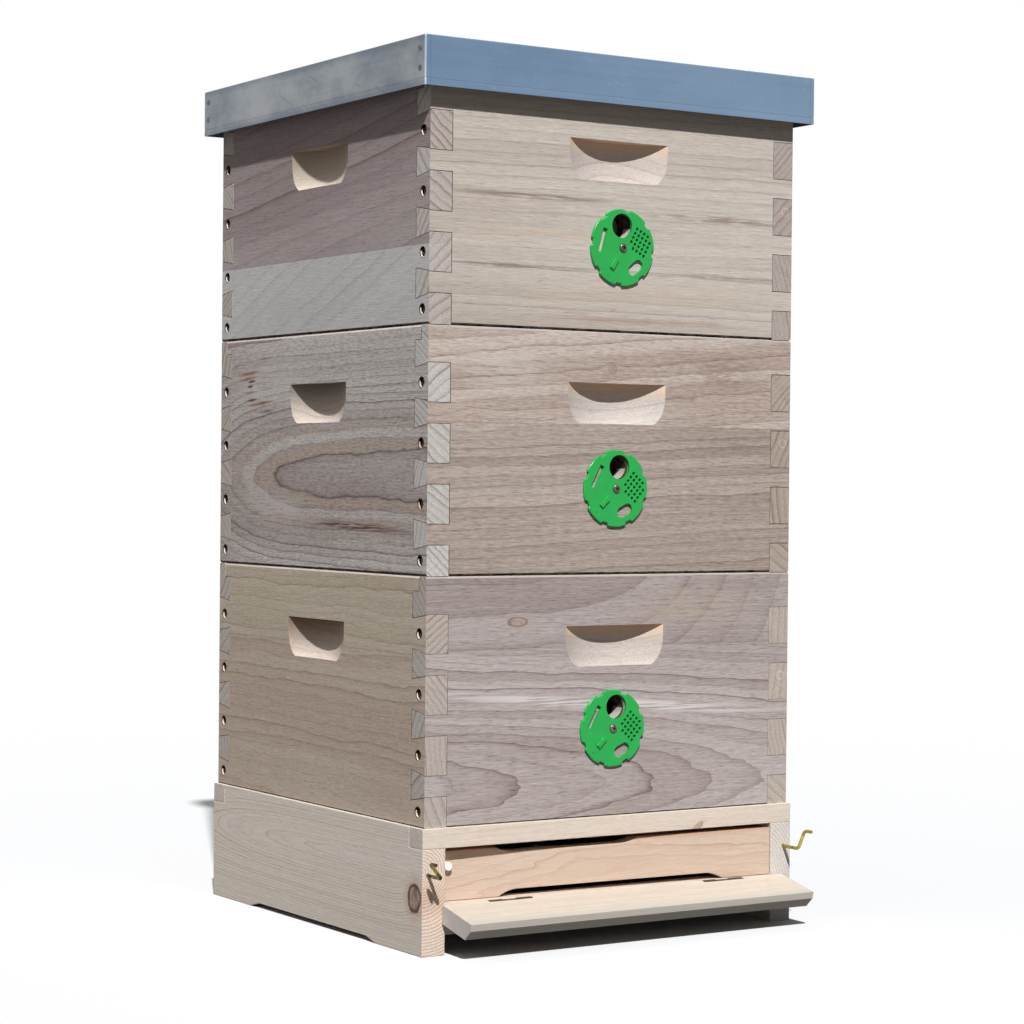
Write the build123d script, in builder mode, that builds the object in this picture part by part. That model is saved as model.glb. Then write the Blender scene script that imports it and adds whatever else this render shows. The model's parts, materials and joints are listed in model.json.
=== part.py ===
from build123d import *
import os
from math import cos, radians, sin

# Wooden beehive: three finger-jointed boxes of hanging frames on a high floor, under a sheet-steel roof.
# Millimetres. +X is to the right seen from the front, +Y to the back, +Z up.
# The origin is on the ground, under the middle of the boxes.

# Sides of the small round forms, which repeat and so are drawn with few faces
screw_sides = 6
wire_sides = 8
hole_sides = 16
disc_sides = 40

# Boxes
box_names = ("lower", "middle", "upper")
box_side = 445.0
box_height = 244.0
wall = 25.0

# Finger joints, counted up from the bottom edge of a box
lowest_side_finger = 30.0
front_finger = 21.0
side_finger = 38.0
side_finger_count = 4

# Ledge that carries the frames, cut in the top of the front and back panels
ledge_drop = 15.0
ledge_width = 12.0

# Handholds, milled by a round cutter with an upright axis
handhold_width = 120.0
handhold_height = 41.0
handhold_depth = 17.0
handhold_lip_depth = 10.0
handhold_slope = 20.0
handhold_below_top = 51.5

# Corner screws, sunk in the side fingers
recess_width = 10.2
recess_depth = 3.8
screw_head_width = 9.2
screw_head_height = 2.4
screw_shank_width = 4.6
screw_length = 42.0

# Entrance discs, fitted by eye: each one's place from the middle of the box's bottom edge, and its turn
disc_places = {"lower": (-3.5, 88.5), "middle": (-2.5, 86.5), "upper": (3.0, 85.5)}
disc_turns = {"lower": -10.0, "middle": -10.0, "upper": 3.0}
disc_diameter = 78.0
disc_thickness = 3.0
disc_gap = 0.3
disc_notch_count = 8
disc_notch_width = 7.0
disc_notch_depth = 3.0
disc_notch_start = 80.0
setting_step = 72.0
open_hole = 24.5
open_radius = 22.0
excluder_length = 25.0
excluder_width = 4.0
excluder_radius = 25.5
stop_rib_length = 16.0
stop_rib_width = 5.0
stop_rib_height = 2.0
stop_rib_radius = 17.6
small_hole_length = 19.0
small_hole_width = 10.0
small_hole_radius = 25.0
vent_count = 5
vent_pitch = 5.0
vent_width = 2.6
vent_radius = 22.6
vent_tilt = -31.0
disc_bore = 26.0
disc_screw_diameter = 4.0
disc_screw_clearance = 0.08
disc_screw_head = 8.5
disc_screw_head_height = 2.6
disc_screw_length = 24.0

# Frames
frame_pitch = 38.0
frame_wall_gap = 7.0
top_bar_below_top = 5.0
top_bar_width = 25.0
top_bar_height = 20.0
lug_end_gap = 1.0
end_bar_width = 28.0
end_bar_thickness = 10.0
bottom_bar_width = 20.0
bottom_bar_height = 10.0
frame_floor_gap = 6.0
foundation_thickness = 3.0

# Floor
floor_overhang = 3.5
floor_height = 124.0
rail_thickness = 26.0
cross_rail_height = 20.0
cross_rail_depth = 26.0
foot_length = 90.0
foot_slope = 20.0
foot_recess = 5.0
entrance_height = 54.0
sill_height = 30.0
sill_depth = 26.0
batten = 12.0
mesh_thickness = 1.0
mesh_below_sill = 2.0
rear_board_bottom = 34.0

# Inspection tray, which slides in grooves from the back
tray_thickness = 3.0
tray_height = 23.0
tray_clearance = 0.5
groove_depth = 8.0
tray_front_gap = 8.0
tray_lip_height = 14.0
tray_lip_thickness = 8.0

# Entrance reducer, pushed in askew, its left end the deeper one
reducer_height = 50.2
reducer_thickness = 18.0
reducer_recess = 6.8
reducer_skew = 1.75
reducer_end_gap = 1.0
reducer_floor_gap = 0.5
wide_notch_width = 270.0
wide_notch_height = 6.5
wide_notch_shift = 3.5
narrow_notch_width = 168.0
narrow_notch_height = 5.0
narrow_notch_shift = -51.5
notch_slope = 22.0
peg_diameter = 8.5
peg_length = 6.0
peg_from_end = 7.0
peg_above_sill = 35.0

# Landing board, shown lowered to its stop
landing_end_inset = 17.0
landing_shift = 5.0
landing_depth = 55.0
landing_thickness = 18.5
landing_slope = 12.5
landing_lip = 7.2
landing_bevel = 7.5
landing_gap = 1.0

# Landing board hinges
hinge_length = 50.0
hinge_spacing = 262.0
hinge_leaf_height = 14.0
hinge_leaf_thickness = 1.2
hinge_barrel = 3.8
hinge_pin = 2.0
hinge_pin_clearance = 0.08
hinge_drop = 1.9
hinge_forward = 2.5
hinge_knuckle_gap = 0.4
hinge_relief = 0.6

# Turn hooks that hold the landing board shut
hook_wire = 3.6
hook_bore_clearance = 0.06
hook_height = 79.0
hook_inset_left = 6.5
hook_inset_right = 9.0
hook_embed = 18.0
hook_reach = 25.0
hook_leg = 20.0
hook_tip = 12.0
hook_bend = 3.0
hook_tilt_left = -40.0
hook_tilt_right = 25.0

# Inner cover
cover_rim_height = 10.0
cover_rim_width = 20.0
cover_thickness = 9.0
cover_hole = 60.0

# Hairline where the ends of two battens meet
butt_gap = 0.2

# Roof
roof_gap = 6.2
roof_skirt = 48.5
roof_sheet = 0.8
roof_hem = 8.0
roof_rail = 9.0
roof_deck = 12.0
nail_head = 6.0
nail_head_height = 1.0
nail_inset = 10.0
nail_below_top = 12.0
nail_spacing = 20.0

# Places that follow from the sizes
half = box_side / 2
inside = box_side - 2 * wall
frame_count = int(inside // frame_pitch)
floor_side = box_side + 2 * floor_overhang
floor_half = floor_side / 2
landing_length = floor_side - 2 * landing_end_inset
roof_inside = box_side + 2 * (roof_gap + roof_rail)
roof_side = roof_inside + 2 * roof_sheet
rail_inner = floor_half - rail_thickness
entrance_top = floor_height - cross_rail_height
sill_top = entrance_top - entrance_height
stack_top = floor_height + len(box_names) * box_height
cover_top = stack_top + cover_rim_height + cover_thickness
deck_top = cover_top + roof_deck
roof_top = deck_top + roof_sheet
roof_bottom = roof_top - roof_skirt
side_pitch = side_finger + front_finger
side_bands = [(0.0, lowest_side_finger)]
for step in range(1, side_finger_count):
    band_top = lowest_side_finger + step * side_pitch
    side_bands.append((band_top - side_finger, band_top))
front_bands = [(low[1], high[0]) for low, high in zip(side_bands, side_bands[1:])]
front_bands.append((side_bands[-1][1], box_height))


def save(part, name):
    """Label a finished piece and write its STEP file."""
    part.label = name
    export_step(part, f"parts/{name}.step")


def outer_face(turn, base):
    """Plane of a box wall: x to the right seen from outside, y up, origin at the bottom middle."""
    outward = Vector(0, -1, 0).rotate(Axis.Z, turn)
    along = Vector(1, 0, 0).rotate(Axis.Z, turn)
    return Plane(origin=outward * half + Vector(0, 0, base), x_dir=along, z_dir=outward)


def at_both_ends(distance, height):
    """The two mirrored places at one height of a wall."""
    return Locations((-distance, height), (distance, height))


def handhold_cutter(face):
    """Solid that mills a handhold; its section is drawn outwards and upwards from the wall."""
    axis_out = ((handhold_width / 2) ** 2 - handhold_depth**2) / (2 * handhold_depth)
    top = box_height - handhold_below_top
    bottom = top - handhold_height
    with BuildPart() as cutter:
        with BuildSketch(Plane(origin=face.origin, x_dir=face.z_dir, z_dir=-face.x_dir)):
            with BuildLine():
                Polyline((-handhold_lip_depth, bottom), (-handhold_depth, bottom + handhold_slope),
                         (-handhold_depth, top), (axis_out, top), (axis_out, bottom), close=True)
            make_face()
        revolve(axis=Axis(face.origin + face.z_dir * axis_out, (0, 0, 1)))
    return cutter.part


def end_panel(face, bore=None):
    """Front or back panel, with the ledge for the frames along its top and the bore of an entrance disc."""
    handhold = handhold_cutter(face)
    with BuildPart() as panel:
        with BuildSketch(face):
            Rectangle(box_side, box_height, align=(Align.CENTER, Align.MIN))
            for low, high in side_bands:
                with at_both_ends(half - wall / 2, (low + high) / 2):
                    Rectangle(wall, high - low, mode=Mode.SUBTRACT)
        extrude(amount=-wall)
        with BuildSketch(face.offset(-wall)):
            with Locations((0, box_height)):
                Rectangle(box_side, ledge_drop, align=(Align.CENTER, Align.MAX))
        extrude(amount=ledge_width, mode=Mode.SUBTRACT)
        add(handhold, mode=Mode.SUBTRACT)
        if bore:
            with BuildSketch(face):
                with Locations(bore):
                    RegularPolygon(disc_bore / 2, hole_sides)
            extrude(amount=-wall, mode=Mode.SUBTRACT)
    return panel.part


def side_panel(face):
    """Left or right panel, whose top corners fill the run-out of the frame ledge."""
    handhold = handhold_cutter(face)
    with BuildPart() as panel:
        with BuildSketch(face):
            Rectangle(box_side, box_height, align=(Align.CENTER, Align.MIN))
            for low, high in front_bands:
                with at_both_ends(half - wall / 2, (low + high) / 2):
                    Rectangle(wall, high - low, mode=Mode.SUBTRACT)
            with at_both_ends(half - wall + ledge_width / 2, box_height - ledge_drop / 2):
                Rectangle(ledge_width, ledge_drop)
        extrude(amount=-wall)
        add(handhold, mode=Mode.SUBTRACT)
        with BuildSketch(face):
            for low, high in side_bands:
                with at_both_ends(half - wall / 2, (low + high) / 2):
                    RegularPolygon(recess_width / 2, screw_sides)
        extrude(amount=-recess_depth, mode=Mode.SUBTRACT)
    return panel.part


def corner_screws(faces):
    """The screws of one box, driven through the side fingers into the end panels."""
    with BuildPart() as screws:
        for face in faces:
            seat = face.offset(-recess_depth)
            with BuildSketch(seat):
                for low, high in side_bands:
                    with at_both_ends(half - wall / 2, (low + high) / 2):
                        RegularPolygon(screw_head_width / 2, screw_sides)
            extrude(amount=screw_head_height)
            with BuildSketch(seat):
                for low, high in side_bands:
                    with at_both_ends(half - wall / 2, (low + high) / 2):
                        RegularPolygon(screw_shank_width / 2, screw_sides)
            extrude(amount=-screw_length)
    return screws.part


def on_face(face, place):
    """The point of a wall at a place to the right and up from its bottom middle."""
    return face.origin + face.x_dir * place[0] + face.y_dir * place[1]


def entrance_disc(face, place, turn):
    """Five-way entrance disc: open hole, excluder slot, closed rib, small hole and vents."""
    centre = on_face(face, place) + face.z_dir * disc_gap
    turned = face.x_dir.rotate(Axis((0, 0, 0), face.z_dir), turn)
    plane = Plane(origin=centre, x_dir=turned, z_dir=face.z_dir)
    up = 90.0
    rows = [(count - (vent_count - 1) / 2) * vent_pitch for count in range(vent_count)]
    vents = [(x, y) for x in rows for y in rows if abs(x + y) < 2 * rows[-1]]
    with BuildPart() as disc:
        with BuildSketch(plane):
            RegularPolygon(disc_diameter / 2, disc_sides)
            with PolarLocations(disc_diameter / 2, disc_notch_count, disc_notch_start):
                Rectangle(2 * disc_notch_depth, disc_notch_width, mode=Mode.SUBTRACT)
            RegularPolygon(disc_screw_diameter / 2 + disc_screw_clearance, wire_sides,
                           major_radius=False, mode=Mode.SUBTRACT)
            with PolarLocations(open_radius, 1, up):
                RegularPolygon(open_hole / 2, hole_sides, mode=Mode.SUBTRACT)
            with PolarLocations(excluder_radius, 1, up + setting_step):
                Rectangle(excluder_width, excluder_length, mode=Mode.SUBTRACT)
            with PolarLocations(small_hole_radius, 1, up + 3 * setting_step):
                Rectangle(small_hole_width, small_hole_length - small_hole_width, mode=Mode.SUBTRACT)
                with GridLocations(1, small_hole_length - small_hole_width, 1, 2):
                    RegularPolygon(small_hole_width / 2, hole_sides, mode=Mode.SUBTRACT)
            with PolarLocations(vent_radius, 1, up - setting_step):
                with Locations(Location((0, 0), vent_tilt - up + setting_step)):
                    with Locations(*vents):
                        Rectangle(vent_width, vent_width, mode=Mode.SUBTRACT)
        extrude(amount=disc_thickness)
        with BuildSketch(plane.offset(disc_thickness)):
            with PolarLocations(stop_rib_radius, 1, up + 2 * setting_step):
                Rectangle(stop_rib_length, stop_rib_width)
        extrude(amount=stop_rib_height)
    return disc.part


def disc_screw(face, place):
    """Pan-head screw that an entrance disc turns on."""
    under_head = disc_gap + disc_thickness + disc_gap
    plane = Plane(origin=on_face(face, place), x_dir=face.x_dir, z_dir=face.z_dir).offset(under_head)
    with BuildPart() as screw:
        with BuildSketch(plane):
            RegularPolygon(disc_screw_head / 2, hole_sides)
        extrude(amount=disc_screw_head_height)
        with BuildSketch(plane):
            RegularPolygon(disc_screw_diameter / 2, wire_sides)
        extrude(amount=-disc_screw_length)
    return screw.part


def frame_places():
    """Middle of each hanging frame, across the box."""
    return GridLocations(frame_pitch, 1, frame_count, 1)


def hanging_frames(name, base):
    """Top bars with lugs on the ledges, end bars, bottom bars and foundation of one box."""
    lug_bottom = base + box_height - ledge_drop
    bar_top = base + box_height - top_bar_below_top
    bar_bottom = bar_top - top_bar_height
    frame_length = inside - 2 * frame_wall_gap
    lug_length = inside + 2 * (ledge_width - lug_end_gap)
    low_bar_bottom = base + frame_floor_gap
    low_bar_top = low_bar_bottom + bottom_bar_height
    window = frame_length - 2 * end_bar_thickness
    with BuildPart() as top_bars:
        with BuildSketch(Plane.XY.offset(bar_bottom)):
            with frame_places():
                Rectangle(top_bar_width, frame_length)
        extrude(amount=top_bar_height)
        with BuildSketch(Plane.XY.offset(lug_bottom)):
            with frame_places():
                Rectangle(top_bar_width, lug_length)
        extrude(amount=bar_top - lug_bottom)
    save(top_bars.part, f"{name}_top_bars")
    with BuildPart() as end_bars:
        with BuildSketch(Plane.XY.offset(low_bar_top)):
            with GridLocations(frame_pitch, window + end_bar_thickness, frame_count, 2):
                Rectangle(end_bar_width, end_bar_thickness)
        extrude(amount=bar_bottom - low_bar_top)
    save(end_bars.part, f"{name}_end_bars")
    with BuildPart() as bottom_bars:
        with BuildSketch(Plane.XY.offset(low_bar_bottom)):
            with frame_places():
                Rectangle(bottom_bar_width, frame_length)
        extrude(amount=bottom_bar_height)
    save(bottom_bars.part, f"{name}_bottom_bars")
    with BuildPart() as foundation:
        with BuildSketch(Plane.XY.offset(low_bar_top)):
            with frame_places():
                Rectangle(foundation_thickness, window)
        extrude(amount=bar_bottom - low_bar_top)
    save(foundation.part, f"{name}_foundation")


def hive_box(name, base):
    """One box: four panels, their screws, the entrance disc and the frames that hang inside."""
    front, right, back, left = (outer_face(turn, base) for turn in (0, 90, 180, 270))
    place = disc_places[name]
    save(end_panel(front, bore=(place[0], place[1] + open_radius)), f"{name}_front_panel")
    save(end_panel(back), f"{name}_back_panel")
    save(side_panel(left), f"{name}_left_panel")
    save(side_panel(right), f"{name}_right_panel")
    save(corner_screws((left, right)), f"{name}_corner_screws")
    save(entrance_disc(front, place, disc_turns[name]), f"{name}_entrance_disc")
    save(disc_screw(front, place), f"{name}_disc_screw")
    hanging_frames(name, base)


def side_rail(sign, hook_x):
    """Side of the floor, with feet, laps for the cross rails, a tray groove and a hook bore."""
    lap_middle = floor_half - cross_rail_depth / 2
    recess_end = floor_half - foot_length
    with BuildPart() as rail:
        with BuildSketch(Plane.YZ.offset(sign * rail_inner)):
            Rectangle(floor_side, floor_height, align=(Align.CENTER, Align.MIN))
            with at_both_ends(lap_middle, entrance_top + cross_rail_height / 2):
                Rectangle(cross_rail_depth, cross_rail_height, mode=Mode.SUBTRACT)
            with BuildLine():
                Polyline((-recess_end, 0), (foot_slope - recess_end, foot_recess),
                         (recess_end - foot_slope, foot_recess), (recess_end, 0), close=True)
            make_face(mode=Mode.SUBTRACT)
        extrude(amount=sign * rail_thickness)
        groove_front = sill_depth - floor_half
        with BuildSketch(Plane.YZ.offset(sign * rail_inner)):
            with Locations((groove_front, tray_height - tray_clearance)):
                Rectangle(floor_half - groove_front, tray_thickness + 2 * tray_clearance,
                          align=(Align.MIN, Align.MIN))
        extrude(amount=sign * groove_depth, mode=Mode.SUBTRACT)
        with BuildSketch(Plane.XZ.offset(floor_half)):
            with Locations((hook_x, hook_height)):
                RegularPolygon(hook_wire / 2 + hook_bore_clearance, wire_sides, major_radius=False)
        extrude(amount=-hook_embed, mode=Mode.SUBTRACT)
    return rail.part


def cross_rail(sign):
    """Rail lapped over the side rails, at the front or the back."""
    with BuildPart() as rail:
        with BuildSketch(Plane.XY.offset(entrance_top)):
            with Locations((0, sign * (floor_half - cross_rail_depth / 2))):
                Rectangle(floor_side, cross_rail_depth)
        extrude(amount=cross_rail_height)
    return rail.part


def turn_hook(x, tilt):
    """Bent wire hook in the front end of a side rail; tilt is from upright, positive to the right."""
    leg = Vector(sin(radians(tilt)), 0, cos(radians(tilt)))
    plane = Plane(origin=(x, -floor_half, hook_height), x_dir=(0, -1, 0), z_dir=(-leg.Z, 0, leg.X))
    far = hook_reach + hook_tip
    with BuildPart() as hook:
        with BuildLine(plane) as route:
            Polyline((-hook_embed, 0), (hook_reach - hook_bend, 0), (hook_reach, hook_bend),
                     (hook_reach, hook_leg - hook_bend), (hook_reach + hook_bend, hook_leg), (far, hook_leg))
        with BuildSketch(Plane(origin=route.line @ 0, z_dir=route.line % 0)):
            RegularPolygon(hook_wire / 2, wire_sides)
        sweep(path=route.line, transition=Transition.RIGHT)
    return hook.part


def wedge_notch(width, height):
    """Outline of a bee passage cut up from the reducer's edge, with rounded ends."""
    foot = width / 2
    head = width / 2 - notch_slope
    with BuildSketch() as notch:
        with BuildLine():
            Line((-foot, 0), (foot, 0))
            TangentArc((head, height), (foot, 0), tangent=(1, 0))
            Line((-head, height), (head, height))
            TangentArc((-head, height), (-foot, 0), tangent=(-1, 0))
        make_face()
    return notch.sketch


os.makedirs("parts", exist_ok=True)

# Boxes and frames
for level, box_name in enumerate(box_names):
    hive_box(box_name, floor_height + level * box_height)

# Floor timbers
hook_left_x = hook_inset_left - floor_half
hook_right_x = floor_half - hook_inset_right
save(side_rail(-1, hook_left_x), "left_rail")
save(side_rail(1, hook_right_x), "right_rail")
save(cross_rail(-1), "front_rail")
save(cross_rail(1), "rear_rail")

with BuildPart() as rear_board:
    with BuildSketch(Plane.XY.offset(rear_board_bottom)):
        with Locations((0, floor_half - cross_rail_depth / 2)):
            Rectangle(2 * rail_inner, cross_rail_depth)
    extrude(amount=entrance_top - rear_board_bottom)
save(rear_board.part, "rear_board")

# Hinges, folded shut between the sill and the lowered landing board
hinge_y = -floor_half - hinge_forward
hinge_z = sill_top - hinge_drop
hinge_xs = [landing_shift - hinge_spacing / 2, landing_shift + hinge_spacing / 2]
knuckle = (hinge_length - 2 * hinge_knuckle_gap) / 3
relief = hinge_barrel + 2 * hinge_relief


def hinge_places(z):
    """The hinges' middles on a plane through the hinge line, at height z."""
    return Locations(*[(x, z) for x in hinge_xs])


# Room for the barrels in the rear edge of the board
with BuildPart() as barrel_room:
    for hinge_x in hinge_xs:
        with BuildSketch(Plane.YZ.offset(hinge_x - hinge_length / 2 - hinge_relief)):
            with Locations((hinge_y, hinge_z)):
                Rectangle(relief, relief)
        extrude(amount=hinge_length + 2 * hinge_relief)

with BuildPart() as front_sill:
    with BuildSketch(Plane.XY.offset(sill_top)):
        with Locations((0, sill_depth / 2 - floor_half)):
            Rectangle(2 * rail_inner, sill_depth)
    extrude(amount=-sill_height)
    with BuildSketch(Plane.XZ.offset(floor_half)):
        with hinge_places(sill_top):
            Rectangle(hinge_length, hinge_leaf_height, align=(Align.CENTER, Align.MAX))
    extrude(amount=-hinge_leaf_thickness, mode=Mode.SUBTRACT)
save(front_sill.part, "front_sill")

# Landing board: its rear face stays upright against the sill, its front edge is undercut
rear_y = -floor_half - landing_gap
slope = radians(landing_slope)
forward = Vector(-cos(slope), -sin(slope))
below = Vector(sin(slope), -cos(slope))
rear_top = Vector(rear_y, sill_top)
front_top = rear_top + forward * landing_depth
lip_bottom = front_top + below * landing_lip
bevel_bottom = front_top + below * landing_thickness - forward * landing_bevel
rear_bottom = rear_top + Vector(0, -landing_thickness / cos(slope))
with BuildPart() as landing_board:
    with BuildSketch(Plane.YZ.offset(landing_shift - landing_length / 2)):
        Polygon(*[(p.X, p.Y) for p in (rear_top, front_top, lip_bottom, bevel_bottom, rear_bottom)],
                align=None)
    extrude(amount=landing_length)
    with BuildSketch(Plane.XZ.offset(-rear_y)):
        with hinge_places(hinge_z):
            Rectangle(hinge_length, hinge_leaf_height, align=(Align.CENTER, Align.MAX))
    extrude(amount=hinge_leaf_thickness, mode=Mode.SUBTRACT)
    add(barrel_room.part, mode=Mode.SUBTRACT)
save(landing_board.part, "landing_board")


def hinge_leaves(leaf_plane, leaf_amount, leaf_top, knuckle_offsets, strip):
    """Leaves of both hinges with their share of the barrel; a strip ties a knuckle to a leaf behind it."""
    strip_z = hinge_z + (hinge_barrel - hinge_leaf_thickness) / 2
    with BuildPart() as leaves:
        for x in hinge_xs:
            with BuildSketch(leaf_plane):
                with Locations((x, leaf_top)):
                    Rectangle(hinge_length, hinge_leaf_height, align=(Align.CENTER, Align.MAX))
                for offset in (-1, 0, 1):
                    if offset not in knuckle_offsets:
                        with Locations((x + offset * (knuckle + hinge_knuckle_gap), hinge_z)):
                            Rectangle(knuckle + 2 * hinge_knuckle_gap, relief, mode=Mode.SUBTRACT)
            extrude(amount=leaf_amount)
            for offset in knuckle_offsets:
                start = x + offset * (knuckle + hinge_knuckle_gap) - knuckle / 2
                with BuildSketch(Plane.YZ.offset(start)):
                    with Locations((hinge_y, hinge_z)):
                        RegularPolygon(hinge_barrel / 2, wire_sides)
                    if strip:
                        with Locations((hinge_y, strip_z)):
                            Rectangle(strip, hinge_leaf_thickness, align=(Align.MIN, Align.CENTER))
                extrude(amount=knuckle)
            with BuildSketch(Plane.YZ.offset(x - hinge_length / 2)):
                with Locations((hinge_y, hinge_z)):
                    RegularPolygon(hinge_pin / 2 + hinge_pin_clearance, wire_sides, major_radius=False)
            extrude(amount=hinge_length, mode=Mode.SUBTRACT)
    return leaves.part


fixed_strip = hinge_forward + hinge_leaf_thickness
save(hinge_leaves(Plane.XZ.offset(floor_half), -hinge_leaf_thickness, sill_top, (-1, 1), fixed_strip),
     "hinge_fixed_leaves")
save(hinge_leaves(Plane.XZ.offset(-rear_y), hinge_leaf_thickness, hinge_z, (0,), 0), "hinge_moving_leaves")
with BuildPart() as hinge_pins:
    for hinge_x in hinge_xs:
        with BuildSketch(Plane.YZ.offset(hinge_x - hinge_length / 2)):
            with Locations((hinge_y, hinge_z)):
                RegularPolygon(hinge_pin / 2, wire_sides)
        extrude(amount=hinge_length)
save(hinge_pins.part, "hinge_pins")

# Turn hooks
save(turn_hook(hook_left_x, hook_tilt_left), "left_hook")
save(turn_hook(hook_right_x, hook_tilt_right), "right_hook")

# Entrance reducer and the peg that it is drawn out by
reducer_front = floor_half - reducer_recess
reducer_bottom = sill_top + reducer_floor_gap
reducer_half = rail_inner - reducer_end_gap
reducer_face = Plane(origin=(0, -reducer_front, 0), x_dir=Vector(1, 0, 0).rotate(Axis.Z, -reducer_skew),
                     z_dir=Vector(0, -1, 0).rotate(Axis.Z, -reducer_skew))
wide_notch = wedge_notch(wide_notch_width, wide_notch_height)
narrow_notch = wedge_notch(narrow_notch_width, narrow_notch_height)
with BuildPart() as entrance_reducer:
    with BuildSketch(reducer_face):
        with Locations((0, reducer_bottom)):
            Rectangle(2 * reducer_half, reducer_height, align=(Align.CENTER, Align.MIN))
        with Locations((wide_notch_shift, reducer_bottom)):
            add(wide_notch, mode=Mode.SUBTRACT)
        with Locations((narrow_notch_shift, reducer_bottom + reducer_height)):
            add(narrow_notch, rotation=180, mode=Mode.SUBTRACT)
    extrude(amount=-reducer_thickness)
save(entrance_reducer.part, "entrance_reducer")

with BuildPart() as reducer_peg:
    with BuildSketch(reducer_face):
        with Locations((peg_from_end - reducer_half, sill_top + peg_above_sill)):
            RegularPolygon(peg_diameter / 2, hole_sides)
    extrude(amount=peg_length)
save(reducer_peg.part, "reducer_peg")

# Wire mesh floor on its battens
mesh_bottom = sill_top - mesh_below_sill - mesh_thickness
mesh_front = sill_depth - floor_half
mesh_back = floor_half - cross_rail_depth
mesh_length = mesh_back - mesh_front
with BuildPart() as floor_mesh:
    with BuildSketch(Plane.XY.offset(mesh_bottom)):
        with Locations((0, (mesh_front + mesh_back) / 2)):
            Rectangle(2 * rail_inner, mesh_length)
    extrude(amount=mesh_thickness)
save(floor_mesh.part, "floor_mesh")

with BuildPart() as mesh_battens:
    with BuildSketch(Plane.XY.offset(mesh_bottom)):
        with GridLocations(2 * rail_inner - batten, 1, 2, 1):
            with Locations((0, (mesh_front + mesh_back) / 2)):
                Rectangle(batten, mesh_length)
    extrude(amount=-batten)
save(mesh_battens.part, "mesh_battens")

# Inspection tray
tray_half = rail_inner + groove_depth - tray_clearance
tray_front = sill_depth - floor_half + tray_front_gap
with BuildPart() as inspection_tray:
    with BuildSketch(Plane.XY.offset(tray_height)):
        with Locations((0, tray_front)):
            Rectangle(2 * tray_half, floor_half - tray_front, align=(Align.CENTER, Align.MIN))
    extrude(amount=tray_thickness)
    with BuildSketch(Plane.XY.offset(tray_height)):
        with Locations((0, floor_half)):
            Rectangle(2 * rail_inner, tray_lip_thickness, align=(Align.CENTER, Align.MIN))
    extrude(amount=tray_lip_height)
save(inspection_tray.part, "inspection_tray")

# Inner cover
with BuildPart() as cover_rim:
    with BuildSketch(Plane.XY.offset(stack_top)):
        with GridLocations(1, box_side - cover_rim_width, 1, 2):
            Rectangle(box_side, cover_rim_width)
        with GridLocations(box_side - cover_rim_width, 1, 2, 1):
            Rectangle(cover_rim_width, box_side - 2 * (cover_rim_width + butt_gap))
    extrude(amount=cover_rim_height)
save(cover_rim.part, "cover_rim")

with BuildPart() as cover_panel:
    with BuildSketch(Plane.XY.offset(stack_top + cover_rim_height)):
        Rectangle(box_side, box_side)
        Circle(cover_hole / 2, mode=Mode.SUBTRACT)
    extrude(amount=cover_thickness)
save(cover_panel.part, "cover_panel")

# Roof
with BuildPart() as roof_deck_board:
    with BuildSketch(Plane.XY.offset(cover_top)):
        Rectangle(roof_inside, roof_inside)
    extrude(amount=roof_deck)
save(roof_deck_board.part, "roof_deck")

rail_span = roof_inside - 2 * (roof_rail + butt_gap)
with BuildPart() as roof_rails:
    with BuildSketch(Plane.XY.offset(roof_bottom + roof_hem)):
        with GridLocations(1, roof_inside - roof_rail, 1, 2):
            Rectangle(roof_inside, roof_rail)
        with GridLocations(roof_inside - roof_rail, 1, 2, 1):
            Rectangle(roof_rail, rail_span)
    extrude(amount=cover_top - roof_bottom - roof_hem)
save(roof_rails.part, "roof_rails")

with BuildPart() as roof_cap:
    with BuildSketch(Plane.XY.offset(roof_bottom)):
        Rectangle(roof_side, roof_side)
    extrude(amount=roof_skirt)
    with BuildSketch(Plane.XY.offset(roof_bottom)):
        Rectangle(roof_inside, roof_inside)
    extrude(amount=roof_skirt - roof_sheet, mode=Mode.SUBTRACT)
    with BuildSketch(Plane.XY.offset(roof_bottom)):
        Rectangle(roof_inside, roof_inside)
        Rectangle(roof_inside - 2 * roof_sheet, roof_inside - 2 * roof_sheet, mode=Mode.SUBTRACT)
    extrude(amount=roof_hem)
save(roof_cap.part, "roof_sheet")

nail_y = roof_side / 2 - nail_inset
nail_z = roof_top - nail_below_top
with BuildPart() as roof_nails:
    for sign in (-1, 1):
        with BuildSketch(Plane.YZ.offset(sign * roof_side / 2)):
            with GridLocations(2 * nail_y, nail_spacing, 2, 2):
                with Locations((0, nail_z - nail_spacing / 2)):
                    RegularPolygon(nail_head / 2, screw_sides)
        extrude(amount=sign * nail_head_height)
save(roof_nails.part, "roof_nails")
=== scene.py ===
import json
from dataclasses import dataclass
from math import atan2, cos, pi, radians, sin

import bmesh
import bpy
from mathutils import Matrix, Vector


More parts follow.
